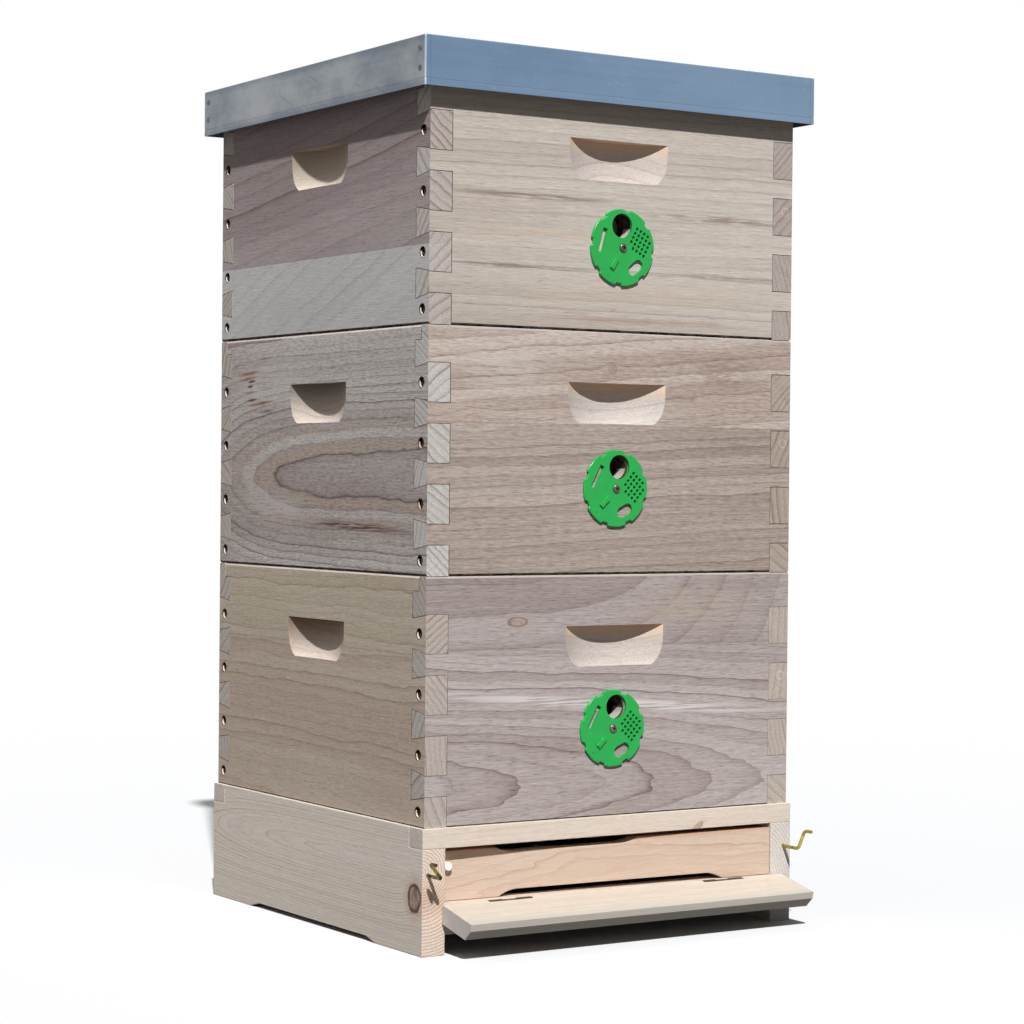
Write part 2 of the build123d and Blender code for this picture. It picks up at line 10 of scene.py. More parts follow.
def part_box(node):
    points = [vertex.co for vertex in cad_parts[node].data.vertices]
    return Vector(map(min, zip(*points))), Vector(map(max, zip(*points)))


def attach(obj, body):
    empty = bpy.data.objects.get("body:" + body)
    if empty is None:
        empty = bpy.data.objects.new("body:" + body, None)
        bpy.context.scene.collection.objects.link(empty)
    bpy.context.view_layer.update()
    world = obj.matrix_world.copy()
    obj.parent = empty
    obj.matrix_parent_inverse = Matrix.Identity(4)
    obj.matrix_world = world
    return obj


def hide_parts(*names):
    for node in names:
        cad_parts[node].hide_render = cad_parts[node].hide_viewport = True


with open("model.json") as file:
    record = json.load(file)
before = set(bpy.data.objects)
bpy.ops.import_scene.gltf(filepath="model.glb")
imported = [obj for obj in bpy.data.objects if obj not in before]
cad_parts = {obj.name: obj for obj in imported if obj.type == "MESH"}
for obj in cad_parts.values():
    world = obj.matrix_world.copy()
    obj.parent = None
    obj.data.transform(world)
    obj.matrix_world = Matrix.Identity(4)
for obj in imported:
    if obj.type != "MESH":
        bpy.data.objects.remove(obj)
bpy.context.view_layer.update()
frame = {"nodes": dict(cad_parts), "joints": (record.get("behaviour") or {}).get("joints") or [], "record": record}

# A wooden beehive: dovetailed boxes, a spruce floor with a landing board, and a zinc-coated roof.
# Metres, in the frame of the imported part: +X to the right seen from the front, +Y to the back, +Z up.

MM = 0.001
BOXES = ("lower", "middle", "upper")
WALLS = {"front": 0, "right": 90, "back": 180, "left": 270}

# Sizes of the boxes, discs and reducer, as they are made, with turns in degrees. The wall and the height are
# rounded to the decimals of a hundredth of a millimetre, so that stacked boxes meet face to face
panel_low, panel_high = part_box("lower_front_panel")
HALF = -panel_low.y
HUNDREDTH_MM = 5
WALL = round(panel_high.y - panel_low.y, HUNDREDTH_MM)
BOX_HEIGHT = round(panel_high.z - panel_low.z, HUNDREDTH_MM)
BASES = {box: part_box(f"{box}_front_panel")[0].z for box in BOXES}
LOWEST_FINGER = 30 * MM
FRONT_FINGER = 21 * MM
SIDE_FINGER = 38 * MM
SIDE_FINGERS = 4
SPLAY = 4.0 * MM
LEDGE_DROP = 15 * MM
LEDGE_WIDTH = 12 * MM
HANDHOLD_WIDTH = 120 * MM
HANDHOLD_HEIGHT = 41 * MM
HANDHOLD_DEPTH = 17 * MM
HANDHOLD_LIP = 10 * MM
HANDHOLD_SLOPE = 29 * MM
HANDHOLD_BELOW_TOP = 51.5 * MM
SCREW_RECESS = 10 * MM
SCREW_RECESS_DEPTH = 3.8 * MM
DISC_BORE = 26 * MM
DISC_HOLE_RADIUS = 22 * MM
DISC_RADIUS = 39 * MM
DISC_THICKNESS = 3 * MM
DISC_GAP = 0.3 * MM
DISC_TURNS = {"lower": -10, "middle": -10, "upper": 3}
REDUCER_HALF = 199 * MM
REDUCER_THICKNESS = 18 * MM
REDUCER_RECESS = 6.8 * MM
REDUCER_SKEW = 1.75
REDUCER_GAP = 1.2 * MM

# Which of a panel's materials a face takes: the weathered board; fresh milled wood, also used as a painted
# highlight on the top arris; dirt and painted shade in joints, seams and holes. And the second one of a screw
# head, painted shade in its cross recess
WEATHERED, FRESH_AND_HIGHLIGHT, DIRT_AND_SHADE = range(3)
RECESS = 1

# How the holes of a wall are painted in light and shade: the direction across the wall in which the light falls,
# how little of the rim stays pale, and how deep
HOLE_LIGHT_SIDES = {"front": (0.5, -0.87, 0.6, 15 * MM), "left": (-0.66, -0.75, 0.25, 2.2 * MM),
              "right": (0.66, -0.75, 0.25, 2.2 * MM)}

# How far the edges of the timber are eased
ARRIS = 0.45 * MM
SOFT_ARRIS = 0.8 * MM
JOINT_ARRIS = 0.9 * MM
TOP_ARRIS = 2.2 * MM
FOOT_ARRIS = 1.3 * MM
SEAM_ARRIS = 2.3 * MM


def rgb(*screen):
    """A colour given as it looks on a screen, 0 to 255, in the linear values that shaders use."""
    return tuple(c / 255 / 12.92 if c <= 10 else ((c / 255 + 0.055) / 1.055) ** 2.4 for c in screen)


class Socket:
    """A node's socket; sums, products and comparisons of sockets add Math nodes to its tree."""

    def __init__(self, tree, link=None):
        self.tree = tree
        self.link = link

    def node(self, kind, inputs=None, output=0, **settings):
        """Add a node: first its settings, then the values or links of its inputs; gives one output."""
        node = self.tree.nodes.new(kind)
        for name, value in settings.items():
            setattr(node, name, value)
        for key, value in (inputs or {}).items():
            if isinstance(value, Socket):
                self.tree.links.new(value.link, node.inputs[key])
            else:
                node.inputs[key].default_value = value
        return Socket(self.tree, node.outputs[output])

    def math(self, operation, first, second=0.0, third=0.0):
        return self.node("ShaderNodeMath", {0: first, 1: second, 2: third}, operation=operation)

    def __add__(self, other):
        return self.math("ADD", self, other)

    __radd__ = __add__

    def __sub__(self, other):
        return self.math("SUBTRACT", self, other)

    def __rsub__(self, other):
        return self.math("SUBTRACT", other, self)

    def __mul__(self, other):
        return self.math("MULTIPLY", self, other)

    __rmul__ = __mul__

    def __truediv__(self, other):
        return self.math("DIVIDE", self, other)

    def __pow__(self, other):
        return self.math("POWER", self, other)

    def __gt__(self, other):
        return self.math("GREATER_THAN", self, other)

    def __lt__(self, other):
        return self.math("LESS_THAN", self, other)

    def size(self):
        return self.math("ABSOLUTE", self)

    def root(self):
        return self.math("SQRT", self)

    def sine(self):
        return self.math("SINE", self)

    def exponent(self):
        return self.math("EXPONENT", self)

    def at_least(self, other):
        return self.math("MAXIMUM", self, other)

    def at_most(self, other):
        return self.math("MINIMUM", self, other)

    def part(self):
        return self.math("FRACT", self)

    def whole(self):
        return self.math("FLOOR", self)

    def between(self, low, high):
        """0 below low, 1 above high, and a smooth rise between them."""
        return self.node("ShaderNodeMapRange", {"Value": self, "From Min": low, "From Max": high},
                         interpolation_type="SMOOTHSTEP")

    def colour(self, low, high):
        """The colour low where the socket is 0, high where it is 1."""
        ends = {0: self, 6: low if isinstance(low, Socket) else (*low, 1),
                7: high if isinstance(high, Socket) else (*high, 1)}
        return self.node("ShaderNodeMix", ends, output=2, data_type="RGBA")

    def stretched(self, scale):
        return self.node("ShaderNodeVectorMath", {0: self, 1: scale}, operation="MULTIPLY")

    def shifted(self, offset):
        return self.node("ShaderNodeVectorMath", {0: self, 1: offset}, operation="ADD")

    def scaled(self, factor):
        return self.node("ShaderNodeVectorMath", {0: self, "Scale": factor}, operation="SCALE")

    def noise(self, scale, detail=2.0, roughness=0.5):
        """Soft noise at this vector; scale is a number or one number for each axis."""
        vector = self if isinstance(scale, (int, float)) else self.stretched(scale)
        size = scale if isinstance(scale, (int, float)) else 1.0
        return self.node("ShaderNodeTexNoise", {"Vector": vector, "Scale": size, "Detail": detail,
                                                "Roughness": roughness})

    def chance(self):
        """A random number for each whole value."""
        return self.node("ShaderNodeTexWhiteNoise", {"W": self}, noise_dimensions="1D")


def new_material(name):
    """An empty principled material: its shader, and a socket to add nodes with."""
    material = bpy.data.materials.new(name)
    material.use_nodes = True
    shader = material.node_tree.nodes["Principled BSDF"]
    return material, shader, Socket(material.node_tree)


def object_coordinates(start):
    """Object position and object normal, each as three sockets."""
    place = start.node("ShaderNodeTexCoord", output="Object")
    normal = start.node("ShaderNodeTexCoord", output="Normal")
    split = [start.node("ShaderNodeSeparateXYZ", {0: place}, output=axis) for axis in range(3)]
    facing = [start.node("ShaderNodeSeparateXYZ", {0: normal}, output=axis) for axis in range(3)]
    return place, split, facing


def wire_shader(start, shader, colour, roughness, height, depth, strength):
    """Feed what changes over the surface to the shader: its colour, its gloss and its fine relief."""
    links = start.tree.links
    links.new(colour.link, shader.inputs["Base Color"])
    if isinstance(roughness, Socket):
        links.new(roughness.link, shader.inputs["Roughness"])
    else:
        shader.inputs["Roughness"].default_value = roughness
    bump = start.node("ShaderNodeBump", {"Height": height, "Strength": strength, "Distance": depth})
    links.new(bump.link, shader.inputs["Normal"])


@dataclass
class Figure:
    """How a board lies in its log: where the pith runs behind the face and how it bends.

    along and up are the pith's place on the face, deep its depth behind it, lean and plunge how it
    tilts up and away along the board, bow and hook how it curves away, ring the growth of one year.
    """

    along: float = 0.0
    up: float = 0.0
    deep: float = 0.10
    lean: float = 0.0
    plunge: float = 0.0
    bow: float = 0.0
    hook: float = 0.0
    ring: float = 5 * MM

    def phase(self, along, up, depth, waver):
        """Years from the pith at a place on the board."""
        run = along - self.along
        rise = up - self.up - run * self.lean
        square = run * run
        reach = depth + self.deep + run * self.plunge + square * self.bow
        if self.hook:
            reach = reach + square * square * self.hook
        return ((rise * rise + reach * reach).root() + waver) / self.ring


@dataclass
class Blemish:
    """A place where a board's grain is bent or broken: half lengths along and across the grain."""

    along: float
    up: float
    length: float
    width: float

    def distance(self, along, up):
        """How far out a place on the board is: 0 at the middle, 1 at the edge."""
        reach = along - self.along
        rise = (up - self.up - reach * self.lean) / self.width
        return (reach * reach / self.length**2 + rise * rise).root()


@dataclass
class Knot(Blemish):
    """A knot through a board; push bends the rings round it."""

    push: float
    strength: float = 1.0
    lean: float = 0.0


@dataclass
class Scar(Blemish):
    """A dark or pale streak of torn or stained grain; solid is how little the fibres break it up."""

    strength: float = 0.8
    tone: tuple = None
    lean: float = 0.0
    solid: float = 0.0


@dataclass
class Board:
    """A sawn board: its axes, how it lies in its log, its tones, and how strongly each mark shows.

    axes are the axis of its length, the axis of its height, and its depth as (axis, sign, place of the face).
    tones are its pale, warm and dark colours. A second figure above the seam is another glued strip.
    """

    axes: tuple
    figure: Figure
    tones: tuple
    seed: float = 0.0
    waver: float = 4 * MM
    lines: float = 0.5
    streaks: float = 0.12
    pores: float = 0.35
    fuzz: float = 0.6
    patches: float = 0.5
    years: float = 0.6
    heart: float = 0.0
    second: Figure = None
    second_tones: tuple = None
    seam: float = 0.0
    seam_shades: tuple = (1.0, 1.0)
    knots: tuple = ()
    scars: tuple = ()
    end_tone: tuple = None
    end_line: tuple = rgb(136, 106, 86)
    fingers: tuple = None
    mark: tuple = None
    fade: tuple = None
    fade_span: float = 1.0
    fibres: float = 0.8
    gloss: float = 0.18


class Grain:
    """The marks of a board at each place of its surface."""

    def __init__(self, start, board):
        self.board = board
        self.place, self.position, facing = object_coordinates(start)
        length_axis, up_axis, (depth_axis, depth_sign, face) = board.axes
        self.along = self.position[length_axis]
        self.up = self.position[up_axis]
        self.depth = (self.position[depth_axis] - face) * depth_sign
        self.end = facing[length_axis].size().between(0.5, 0.7)
        # The noises' scales are for a metre: along the grain, then up and into the board
        spot = start.node("ShaderNodeCombineXYZ", {0: self.along, 1: self.up, 2: self.depth})
        self.spot = spot.shifted((board.seed, board.seed * 1.7, board.seed * 0.3))
        self.streaks = self.spot.noise((5, 320, 320), 3.0, 0.6)
        self.fibres = self.spot.noise((30, 1500, 1500), 2.0, 0.6)
        self.fuzz = self.spot.noise((110, 600, 600), 2.0, 0.6)
        self.dashes = self.spot.noise((70, 800, 800), 2.0, 0.5).between(0.55, 0.70)
        self.patches = self.spot.noise((2.2, 9, 9), 2.0)
        self.strip = (self.up > board.seam) if board.second else None
        self.phase = self.ring_phase()
        self.late = self.phase.part() ** 6.0
        self.year = self.phase.whole() + board.seed

    def ring_phase(self):
        """Years from the pith, with the wavering of the rings and their bends round the knots."""
        waver = self.board.waver
        wave = (self.spot.noise((2.6, 8, 8), 1.0) - 0.5) * (2.2 * waver)
        wave = wave + (self.spot.noise((14, 45, 45), 2.0) - 0.5) * (0.8 * waver)
        wave = wave + (self.spot.noise((45, 140, 140), 2.0) - 0.5) * (0.25 * waver)
        for knot in self.board.knots:
            near = knot.distance(self.along, self.up)
            wave = wave + (near * near * -0.3).exponent() * knot.push
        phase = self.board.figure.phase(self.along, self.up, self.depth, wave)
        if self.strip is None:
            return phase
        other = self.board.second.phase(self.along, self.up, self.depth, wave) + 31.0
        return phase + self.strip * (other - phase)

    def face_colour(self):
        """Pale and warm wood by patches, years and streaks, with dark late wood and pores."""
        board = self.board
        pale, warm, dark = board.tones
        tone = ((self.year * 3.7 + 11.3).chance() - 0.5) * board.years
        mixture = (self.patches - 0.5) * 1.5 * board.patches + tone + (self.streaks - 0.5) * 1.3 + 0.45
        if board.heart:
            mixture = mixture + (self.phase < board.heart) * 0.12
        base = mixture.between(0.0, 1.0).colour(pale, warm)
        if board.heart:
            base = (self.heart_rims() * (self.streaks + 0.1)).colour(base, HEART_RIM)
        if board.second_tones:
            other_pale, other_warm, other_dark = board.second_tones
            base = self.strip.colour(base, mixture.between(0.0, 1.0).colour(other_pale, other_warm))
            dark = self.strip.colour(dark, other_dark)
        vigour = self.year.chance()
        marks = self.late * (vigour * vigour * 0.8 + 0.2) * board.lines
        marks = marks + self.dashes * (self.patches * 0.9 + 0.2) * board.pores
        if board.heart:
            marks = marks + (1 - (self.phase - board.heart).size().between(0.02, 0.14)) * self.streaks * 0.6
        shade = (self.streaks - 0.5) * (3 * board.streaks) + (self.fibres - 0.5) * board.fibres + 1.0
        shade = shade + (self.fuzz - 0.5) * board.fuzz
        if self.strip is not None:
            below, above = board.seam_shades
            joint = 1 - ((self.up - board.seam).size() < 0.6 * MM) * 0.2
            shade = shade * (self.strip * (above - below) + below) * joint
        return marks.at_most(1.0).colour(base, dark).scaled(shade)

    def heart_rims(self):
        """Tan rings round the heart of the log, each fainter than the one before."""
        past = self.phase - self.board.heart
        first = past.between(0.0, 0.1) * (1 - past.between(0.5, 1.2))
        second = past.between(1.6, 1.9) * (1 - past.between(2.0, 2.6))
        third = past.between(2.9, 3.1) * (1 - past.between(3.2, 3.7))
        return first * 0.9 + second * 0.75 + third * 0.5

    def end_colour(self):
        """End grain: slanted ring lines, their slope and width changing from finger to finger."""
        board = self.board
        lines = self.phase.part() ** 2.5
        if board.fingers:
            base, pitch = board.fingers
            block = ((self.up - base) / pitch).whole() + (self.along > 0) * 7 + board.seed
            slope = (block.chance() - 0.5) * 3.2
            width = (block + 0.37).chance() * (5 * MM) + 5.5 * MM
            across = (self.depth + self.up * slope) / (slope * slope + 1).root()
            ring = (across + (self.spot.noise(45.0, 3.0) - 0.5) * (7 * MM)) / width
            lines = ring.part() ** 3.5 * ((ring.whole() + block).chance() * 0.8 + 0.3)
            lines = lines + (block + 0.71).chance() * 0.12
        speckle = self.spot.noise(700.0, 3.0, 0.7)
        colour = lines.colour(board.end_tone, board.end_line).scaled((speckle - 0.5) * 1.2 + 1.0)
        if board.mark:
            deep, high, radius = board.mark
            out, over = self.depth - deep, self.up - high
            ring = ((out * out + over * over).root() - radius).size() < 0.7 * MM
            colour = colour.scaled(ring * (self.along < 0) * 0.3 + 1.0)
        return colour

    def with_scars(self, colour):
        """The board's colour with its streaks, broken up along the fibres."""
        for scar in self.board.scars:
            near = scar.distance(self.along, self.up) + (self.patches - 0.5) * 0.4
            torn = self.spot.noise((3.2 / scar.length, 420, 420), 3.0, 0.6).between(0.4, 0.54)
            mark = (1 - near.between(0.2, 1.0)) * (torn * (1 - scar.solid) + scar.solid) * scar.strength
            colour = mark.colour(colour, scar.tone or self.board.tones[2])
        return colour

    def with_knots(self, colour):
        """The board's colour with its knots: a dark rim, a ringed heart and a crack or two."""
        for knot in self.board.knots:
            near = knot.distance(self.along, self.up) + (self.spot.noise(120.0, 2.0) - 0.5) * 0.35
            rings = (near * 14.0).sine() * 0.05 + 1.0
            heart = self.spot.noise((150, 60, 60), 3.0).between(0.3, 0.7)
            heart = heart.colour(*KNOT_HEART).scaled(rings)
            core = (1 - near.between(0.9, 1.0)) * knot.strength
            rim = (1 - (near - 1.0).size().between(0.04, 0.22)) * (0.9 * knot.strength)
            halo = (1 - near.between(1.0, 2.2)) * (0.45 * knot.strength)
            colour = halo.colour(colour, KNOT_HALO)
            colour = core.colour(colour, heart)
            colour = rim.colour(colour, KNOT_RIM)
        return colour


def timber(name, board):
    """The material of a sawn board, with growth rings through its whole body."""
    material, shader, start = new_material(name)
    grain = Grain(start, board)
    colour = grain.face_colour()
    if board.end_tone is not None:
        colour = (grain.end * 0.85).colour(colour, grain.end_colour())
    # A tone that takes over along one axis near the middle of the board: painted shade in the handholds and under
    # the reducer's top, and grey weathering on the landing board's lip.
    if board.fade is not None:
        axis, near, far, tone = board.fade
        reach = (grain.position[axis] - near) / (far - near) + (grain.patches - 0.5) * 0.5
        near_middle = grain.along.size() < board.fade_span
        colour = (reach.between(0.0, 1.0) * (reach < 1.5) * near_middle * 0.85).colour(colour, tone)
    colour = grain.with_knots(grain.with_scars(colour))
    relief = grain.streaks * 0.5 + grain.fibres * 0.35 - grain.dashes * 0.4 - grain.late * 0.3
    wire_shader(start, shader, colour, grain.streaks * 0.18 + 0.58, relief, 0.00035, 0.5)
    shader.inputs["Specular IOR Level"].default_value = board.gloss
    return material


def plain_material(name, tones, roughness, metallic=0.0, grain=40.0, bump=0.00005, spread=0.5, gloss=0.5):
    """A finish with soft variation between two tones, for plastics, wire and small metal pieces."""
    material, shader, start = new_material(name)
    place = start.node("ShaderNodeTexCoord", output="Object")
    cloud = place.noise(grain, 3.0)
    fine = place.noise(grain * 12, 2.0)
    blend = ((cloud - 0.5) * 2 * spread + 0.5).between(0.0, 1.0)
    wire_shader(start, shader, blend.colour(*tones), cloud * 0.16 + (roughness - 0.08), fine, bump, 0.4)
    shader.inputs["Metallic"].default_value = metallic
    shader.inputs["Specular IOR Level"].default_value = gloss
    return material


def zinc_sheet():
    """Zinc-coated steel: drawn streaks along its length, dull handled clouds on the sides and small pits; the
    front and back are painted bluer as a painted sky reflection, with a painted highlight down the upright corners
    and a painted shade line beside them.
    """
    material, shader, start = new_material("zinc_sheet")
    place, position, facing = object_coordinates(start)
    low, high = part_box("roof_sheet")
    side = facing[0].size().between(0.4, 0.8)
    height = (position[2] - low.z) / (high.z - low.z)
    edge = (height - 0.5).size().between(0.28, 0.5)
    level = place.noise((6, 6, 420), 3.0, 0.6)
    cloud = place.noise((11, 11, 17), 4.0, 0.68)
    slant = start.node("ShaderNodeCombineXYZ", {0: position[1] * 9 + position[2] * 12,
                                                1: (position[2] - position[1] * 0.45) * 260})
    scratches = slant.noise(1.0, 2.0).between(0.66, 0.71)
    pits = place.noise(420.0, 1.0).between(0.72, 0.78)
    plain = ((level - 0.5) * 0.5 + (cloud - 0.5) * 1.0 + position[0] * 1.2 + 0.5).between(0.0, 1.0)
    handled = ((cloud - 0.5) * 1.9 + (level - 0.5) * 0.3 + 0.55 - edge * 0.4).between(0.0, 1.0)
    # Painted sky reflection: the front and back are bluer than the sides, and lighter towards +X.
    bright = plain.colour(rgb(105, 130, 156), rgb(123, 146, 171))
    dull = handled.colour(rgb(104, 114, 126), rgb(156, 160, 162))
    dull = (scratches * 0.4).colour(dull, rgb(80, 88, 96))
    colour = side.colour(bright, dull)
    colour = (pits * 0.25).colour(colour, rgb(226, 230, 234))
    out_x, out_y = position[0].size(), position[1].size()
    # Painted highlight down the upright corners.
    folded = (out_x > high.x - 1.4 * MM) * (out_y > high.y - 1.4 * MM)
    colour = (folded * 0.45).colour(colour, rgb(206, 220, 232))
    # Painted shade line 6 mm in from each corner on the front and back, where a fold of the sheet would be.
    tab = ((out_x - high.x + 6 * MM).size() < 0.4 * MM) * facing[1].size().between(0.4, 0.8)
    colour = (tab * 0.35).colour(colour, rgb(70, 84, 98))
    rough = (level - 0.5) * 0.12 + (cloud - 0.5) * 0.14 + 0.42
    wire_shader(start, shader, colour, rough, place.noise((9, 9, 5), 1.0) + level * 0.02, 0.0008, 0.4)
    shader.inputs["Metallic"].default_value = 0.65
    return material


def wax_sheet():
    """Pressed beeswax foundation with rows of cells."""
    material, shader, start = new_material("wax_sheet")
    place, position, _ = object_coordinates(start)
    cell = 5.4 * MM
    row = position[2] / (cell * 0.866)
    across = position[1] / cell + row.whole() * 0.5
    dy = across.part() - 0.5
    dz = row.part() - 0.5
    dome = (dy * dy + dz * dz).root()
    cloud = place.noise(14.0, 2.0)
    wall = dome.between(0.36, 0.52)
    colour = (wall * 0.5 + cloud * 0.6).colour(rgb(222, 172, 84), rgb(240, 208, 128))
    wire_shader(start, shader, colour, 0.42, wall, 0.0006, 0.8)
    shader.inputs["Specular IOR Level"].default_value = 0.35
    return material


def wire_cloth():
    """Woven wire: the sheet shows only along its wires."""
    material, shader, start = new_material("wire_cloth")
    place, position, _ = object_coordinates(start)
    pitch = 3.2 * MM
    across = ((position[0] / pitch).part() - 0.5).size()
    along = ((position[1] / pitch).part() - 0.5).size()
    wires = (across > 0.36).at_least(along > 0.36)
    cloud = place.noise(30.0, 2.0)
    colour = cloud.colour(rgb(150, 152, 154), rgb(190, 192, 194))
    wire_shader(start, shader, colour, 0.35, across * along, 0.0004, 0.6)
    start.tree.links.new(wires.link, shader.inputs["Alpha"])
    shader.inputs["Metallic"].default_value = 0.85
    return material


# Meshes


def finish_piece(bm, name, body, material, slot, nodes, angle=30):
    """Make a piece of a bmesh: it rides on a body, takes the given materials and stands for CAD nodes, which it
    hides; the slot is not used.
    """
    mesh = bpy.data.meshes.new(name)
    bm.to_mesh(mesh)
    bm.free()
    materials = material if isinstance(material, (list, tuple)) else [material]
    for each in materials:
        mesh.materials.append(each)
    mesh.shade_smooth()
    mesh.set_sharp_from_angle(angle=radians(angle))
    piece = bpy.data.objects.new(name, mesh)
    bpy.context.scene.collection.objects.link(piece)
    flats = piece.modifiers.new("flat_faces", "WEIGHTED_NORMAL")
    flats.keep_sharp = True
    flats.weight = 100
    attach(piece, body)
    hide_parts(*nodes)


def bevelled(bm, edges, width, segments=2):
    """Round the given edges; gives the new faces."""
    return bmesh.ops.bevel(bm, geom=edges, offset=width, offset_type="OFFSET", segments=segments, profile=0.5,
                           affect="EDGES", clamp_overlap=True, material=-1)["faces"]


def ease_edges(bm, width, segments=2, least=35):
    """Round every edge that turns by more than the least angle."""
    sharp = [edge for edge in bm.edges
             if len(edge.link_faces) == 2 and edge.calc_face_angle(0) > radians(least)]
    return bevelled(bm, sharp, width, segments)


def from_node(node):
    """A merged copy of a CAD node with its flat faces joined up."""
    bm = bmesh.new()
    bm.from_mesh(frame["nodes"][node].data)
    bmesh.ops.remove_doubles(bm, verts=bm.verts, dist=0.01 * MM)
    bmesh.ops.dissolve_limit(bm, angle_limit=radians(1), verts=bm.verts, edges=bm.edges)
    for face in bm.faces:
        face.material_index = 0
    return bm


def eased_node(node, body, material, width=ARRIS, segments=2, least=35):
    """A CAD node's own shape with its sharp edges eased."""
    bm = from_node(node)
    ease_edges(bm, width, segments, least)
    finish_piece(bm, f"{node}_eased", body, material, node_slot(node), [node], angle=least)


def node_slot(node):
    """The record's slot of a node."""
    return next(part["material_slot"] for part in frame["record"]["subparts"] if part["node"] == node)


def prism(outline, depth, far_outline=None):
    """A bmesh of an outline in X and Z, pushed back along +Y, where it may end in another outline."""
    bm = bmesh.new()
    near = [bm.verts.new((x, 0, z)) for x, z in outline]
    far = [bm.verts.new((x, depth, z)) for x, z in far_outline or outline]
    bm.faces.new(near)
    bm.faces.new(far[::-1])
    for step in range(len(near)):
        bm.faces.new([near[step], near[step - 1], far[step - 1], far[step]])
    bmesh.ops.recalc_face_normals(bm, faces=bm.faces)
    return bm


def add_box(bm, low, high):
    """A box between two corners."""
    made = bmesh.ops.create_cube(bm, size=1.0)["verts"]
    size = Vector(high) - Vector(low)
    bmesh.ops.scale(bm, verts=made, vec=size)
    bmesh.ops.translate(bm, verts=made, vec=(Vector(low) + Vector(high)) / 2)
    return made


def add_rod(bm, centre, radius, front, back, sides=32, taper=1.0):
    """A round rod along Y between two places."""
    made = bmesh.ops.create_cone(bm, segments=sides, radius1=radius, radius2=radius * taper,
                                 depth=back - front, cap_ends=True, cap_tris=False)["verts"]
    bmesh.ops.rotate(bm, verts=made, cent=(0, 0, 0), matrix=Matrix.Rotation(-pi / 2, 3, "X"))
    bmesh.ops.translate(bm, verts=made, vec=(centre[0], (front + back) / 2, centre[1]))


def add_turned(bm, profile, centre, steps=48):
    """A closed form turned about an upright axis: profile points are (radius, height)."""
    before = set(bm.verts)
    verts = [bm.verts.new((radius, 0, height)) for radius, height in profile]
    edges = [bm.edges.new(pair) for pair in zip(verts, verts[1:])]
    bmesh.ops.spin(bm, geom=verts + edges, cent=(0, 0, 0), axis=(0, 0, 1), angle=2 * pi, steps=steps,
                   use_merge=True)
    turned = [vert for vert in bm.verts if vert not in before]
    bmesh.ops.translate(bm, verts=turned, vec=centre)
    bmesh.ops.remove_doubles(bm, verts=turned, dist=0.001 * MM)


def cut_away(bm, cutter):
    """The first bmesh with the second cut out of it; the cut faces keep the cutter's material."""
    for each in (bm, cutter):
        bmesh.ops.recalc_face_normals(each, faces=each.faces)
    objects = []
    for number, each in enumerate((bm, cutter)):
        mesh = bpy.data.meshes.new(f"cut_{number}")
        each.to_mesh(mesh)
        each.free()
        for _ in (WEATHERED, FRESH_AND_HIGHLIGHT, DIRT_AND_SHADE):
            mesh.materials.append(None)
        made = bpy.data.objects.new(f"cut_{number}", mesh)
        bpy.context.scene.collection.objects.link(made)
        objects.append(made)
    body, tool = objects
    carve = body.modifiers.new("carve", "BOOLEAN")
    carve.operation = "DIFFERENCE"
    carve.solver = "EXACT"
    carve.object = tool
    carve.material_mode = "INDEX"
    bpy.context.view_layer.update()
    evaluated = body.evaluated_get(bpy.context.evaluated_depsgraph_get())
    result = bmesh.new()
    result.from_mesh(evaluated.to_mesh())
    evaluated.to_mesh_clear()
    for made in objects:
        mesh = made.data
        bpy.data.objects.remove(made)
        bpy.data.meshes.remove(mesh)
    bmesh.ops.remove_doubles(result, verts=result.verts, dist=0.002 * MM)
    return result


# Boxes


def finger_bands():
    """Heights of the fingers up a corner: (low, high, belongs to the side panel)."""
    bands = [(0.0, LOWEST_FINGER, True)]
    for step in range(1, SIDE_FINGERS):
        top = LOWEST_FINGER + step * (SIDE_FINGER + FRONT_FINGER)
        bands.append((bands[-1][1], top - SIDE_FINGER, False))
        bands.append((top - SIDE_FINGER, top, True))
    bands.append((bands[-1][1], BOX_HEIGHT, False))
    return bands


def comb_outline(is_side, at_tip=0.0, at_root=0.0):
    """Outline of a panel with the fingers cut in both ends, and how much thicker they are at tip and root."""
    right = []
    for low, high, side_finger in finger_bands():
        finger = side_finger == is_side
        reach = HALF if finger else HALF - WALL
        spread = at_tip if finger else -at_root
        foot = low - spread if low > 0 else low
        head = high + spread if high < BOX_HEIGHT else high
        if is_side and high == BOX_HEIGHT:
            ledge = BOX_HEIGHT - LEDGE_DROP
            right += [(reach, foot), (reach, ledge)]
            right += [(HALF - WALL + LEDGE_WIDTH, ledge), (HALF - WALL + LEDGE_WIDTH, BOX_HEIGHT)]
        else:
            right += [(reach, foot), (reach, head)]
    return right + [(-x, z) for x, z in reversed(right)]


def panel_blank(is_side):
    """A panel with its dovetailed ends: the side panels carry the tails, the front and back ones the pins."""
    if is_side:
        return prism(comb_outline(True, at_root=-SPLAY), WALL)
    return prism(comb_outline(False), WALL, comb_outline(False, SPLAY, SPLAY))


def screw_heights():
    """Middles of the side fingers, where the corner screws are."""
    return [(low + high) / 2 for low, high, side_finger in finger_bands() if side_finger]


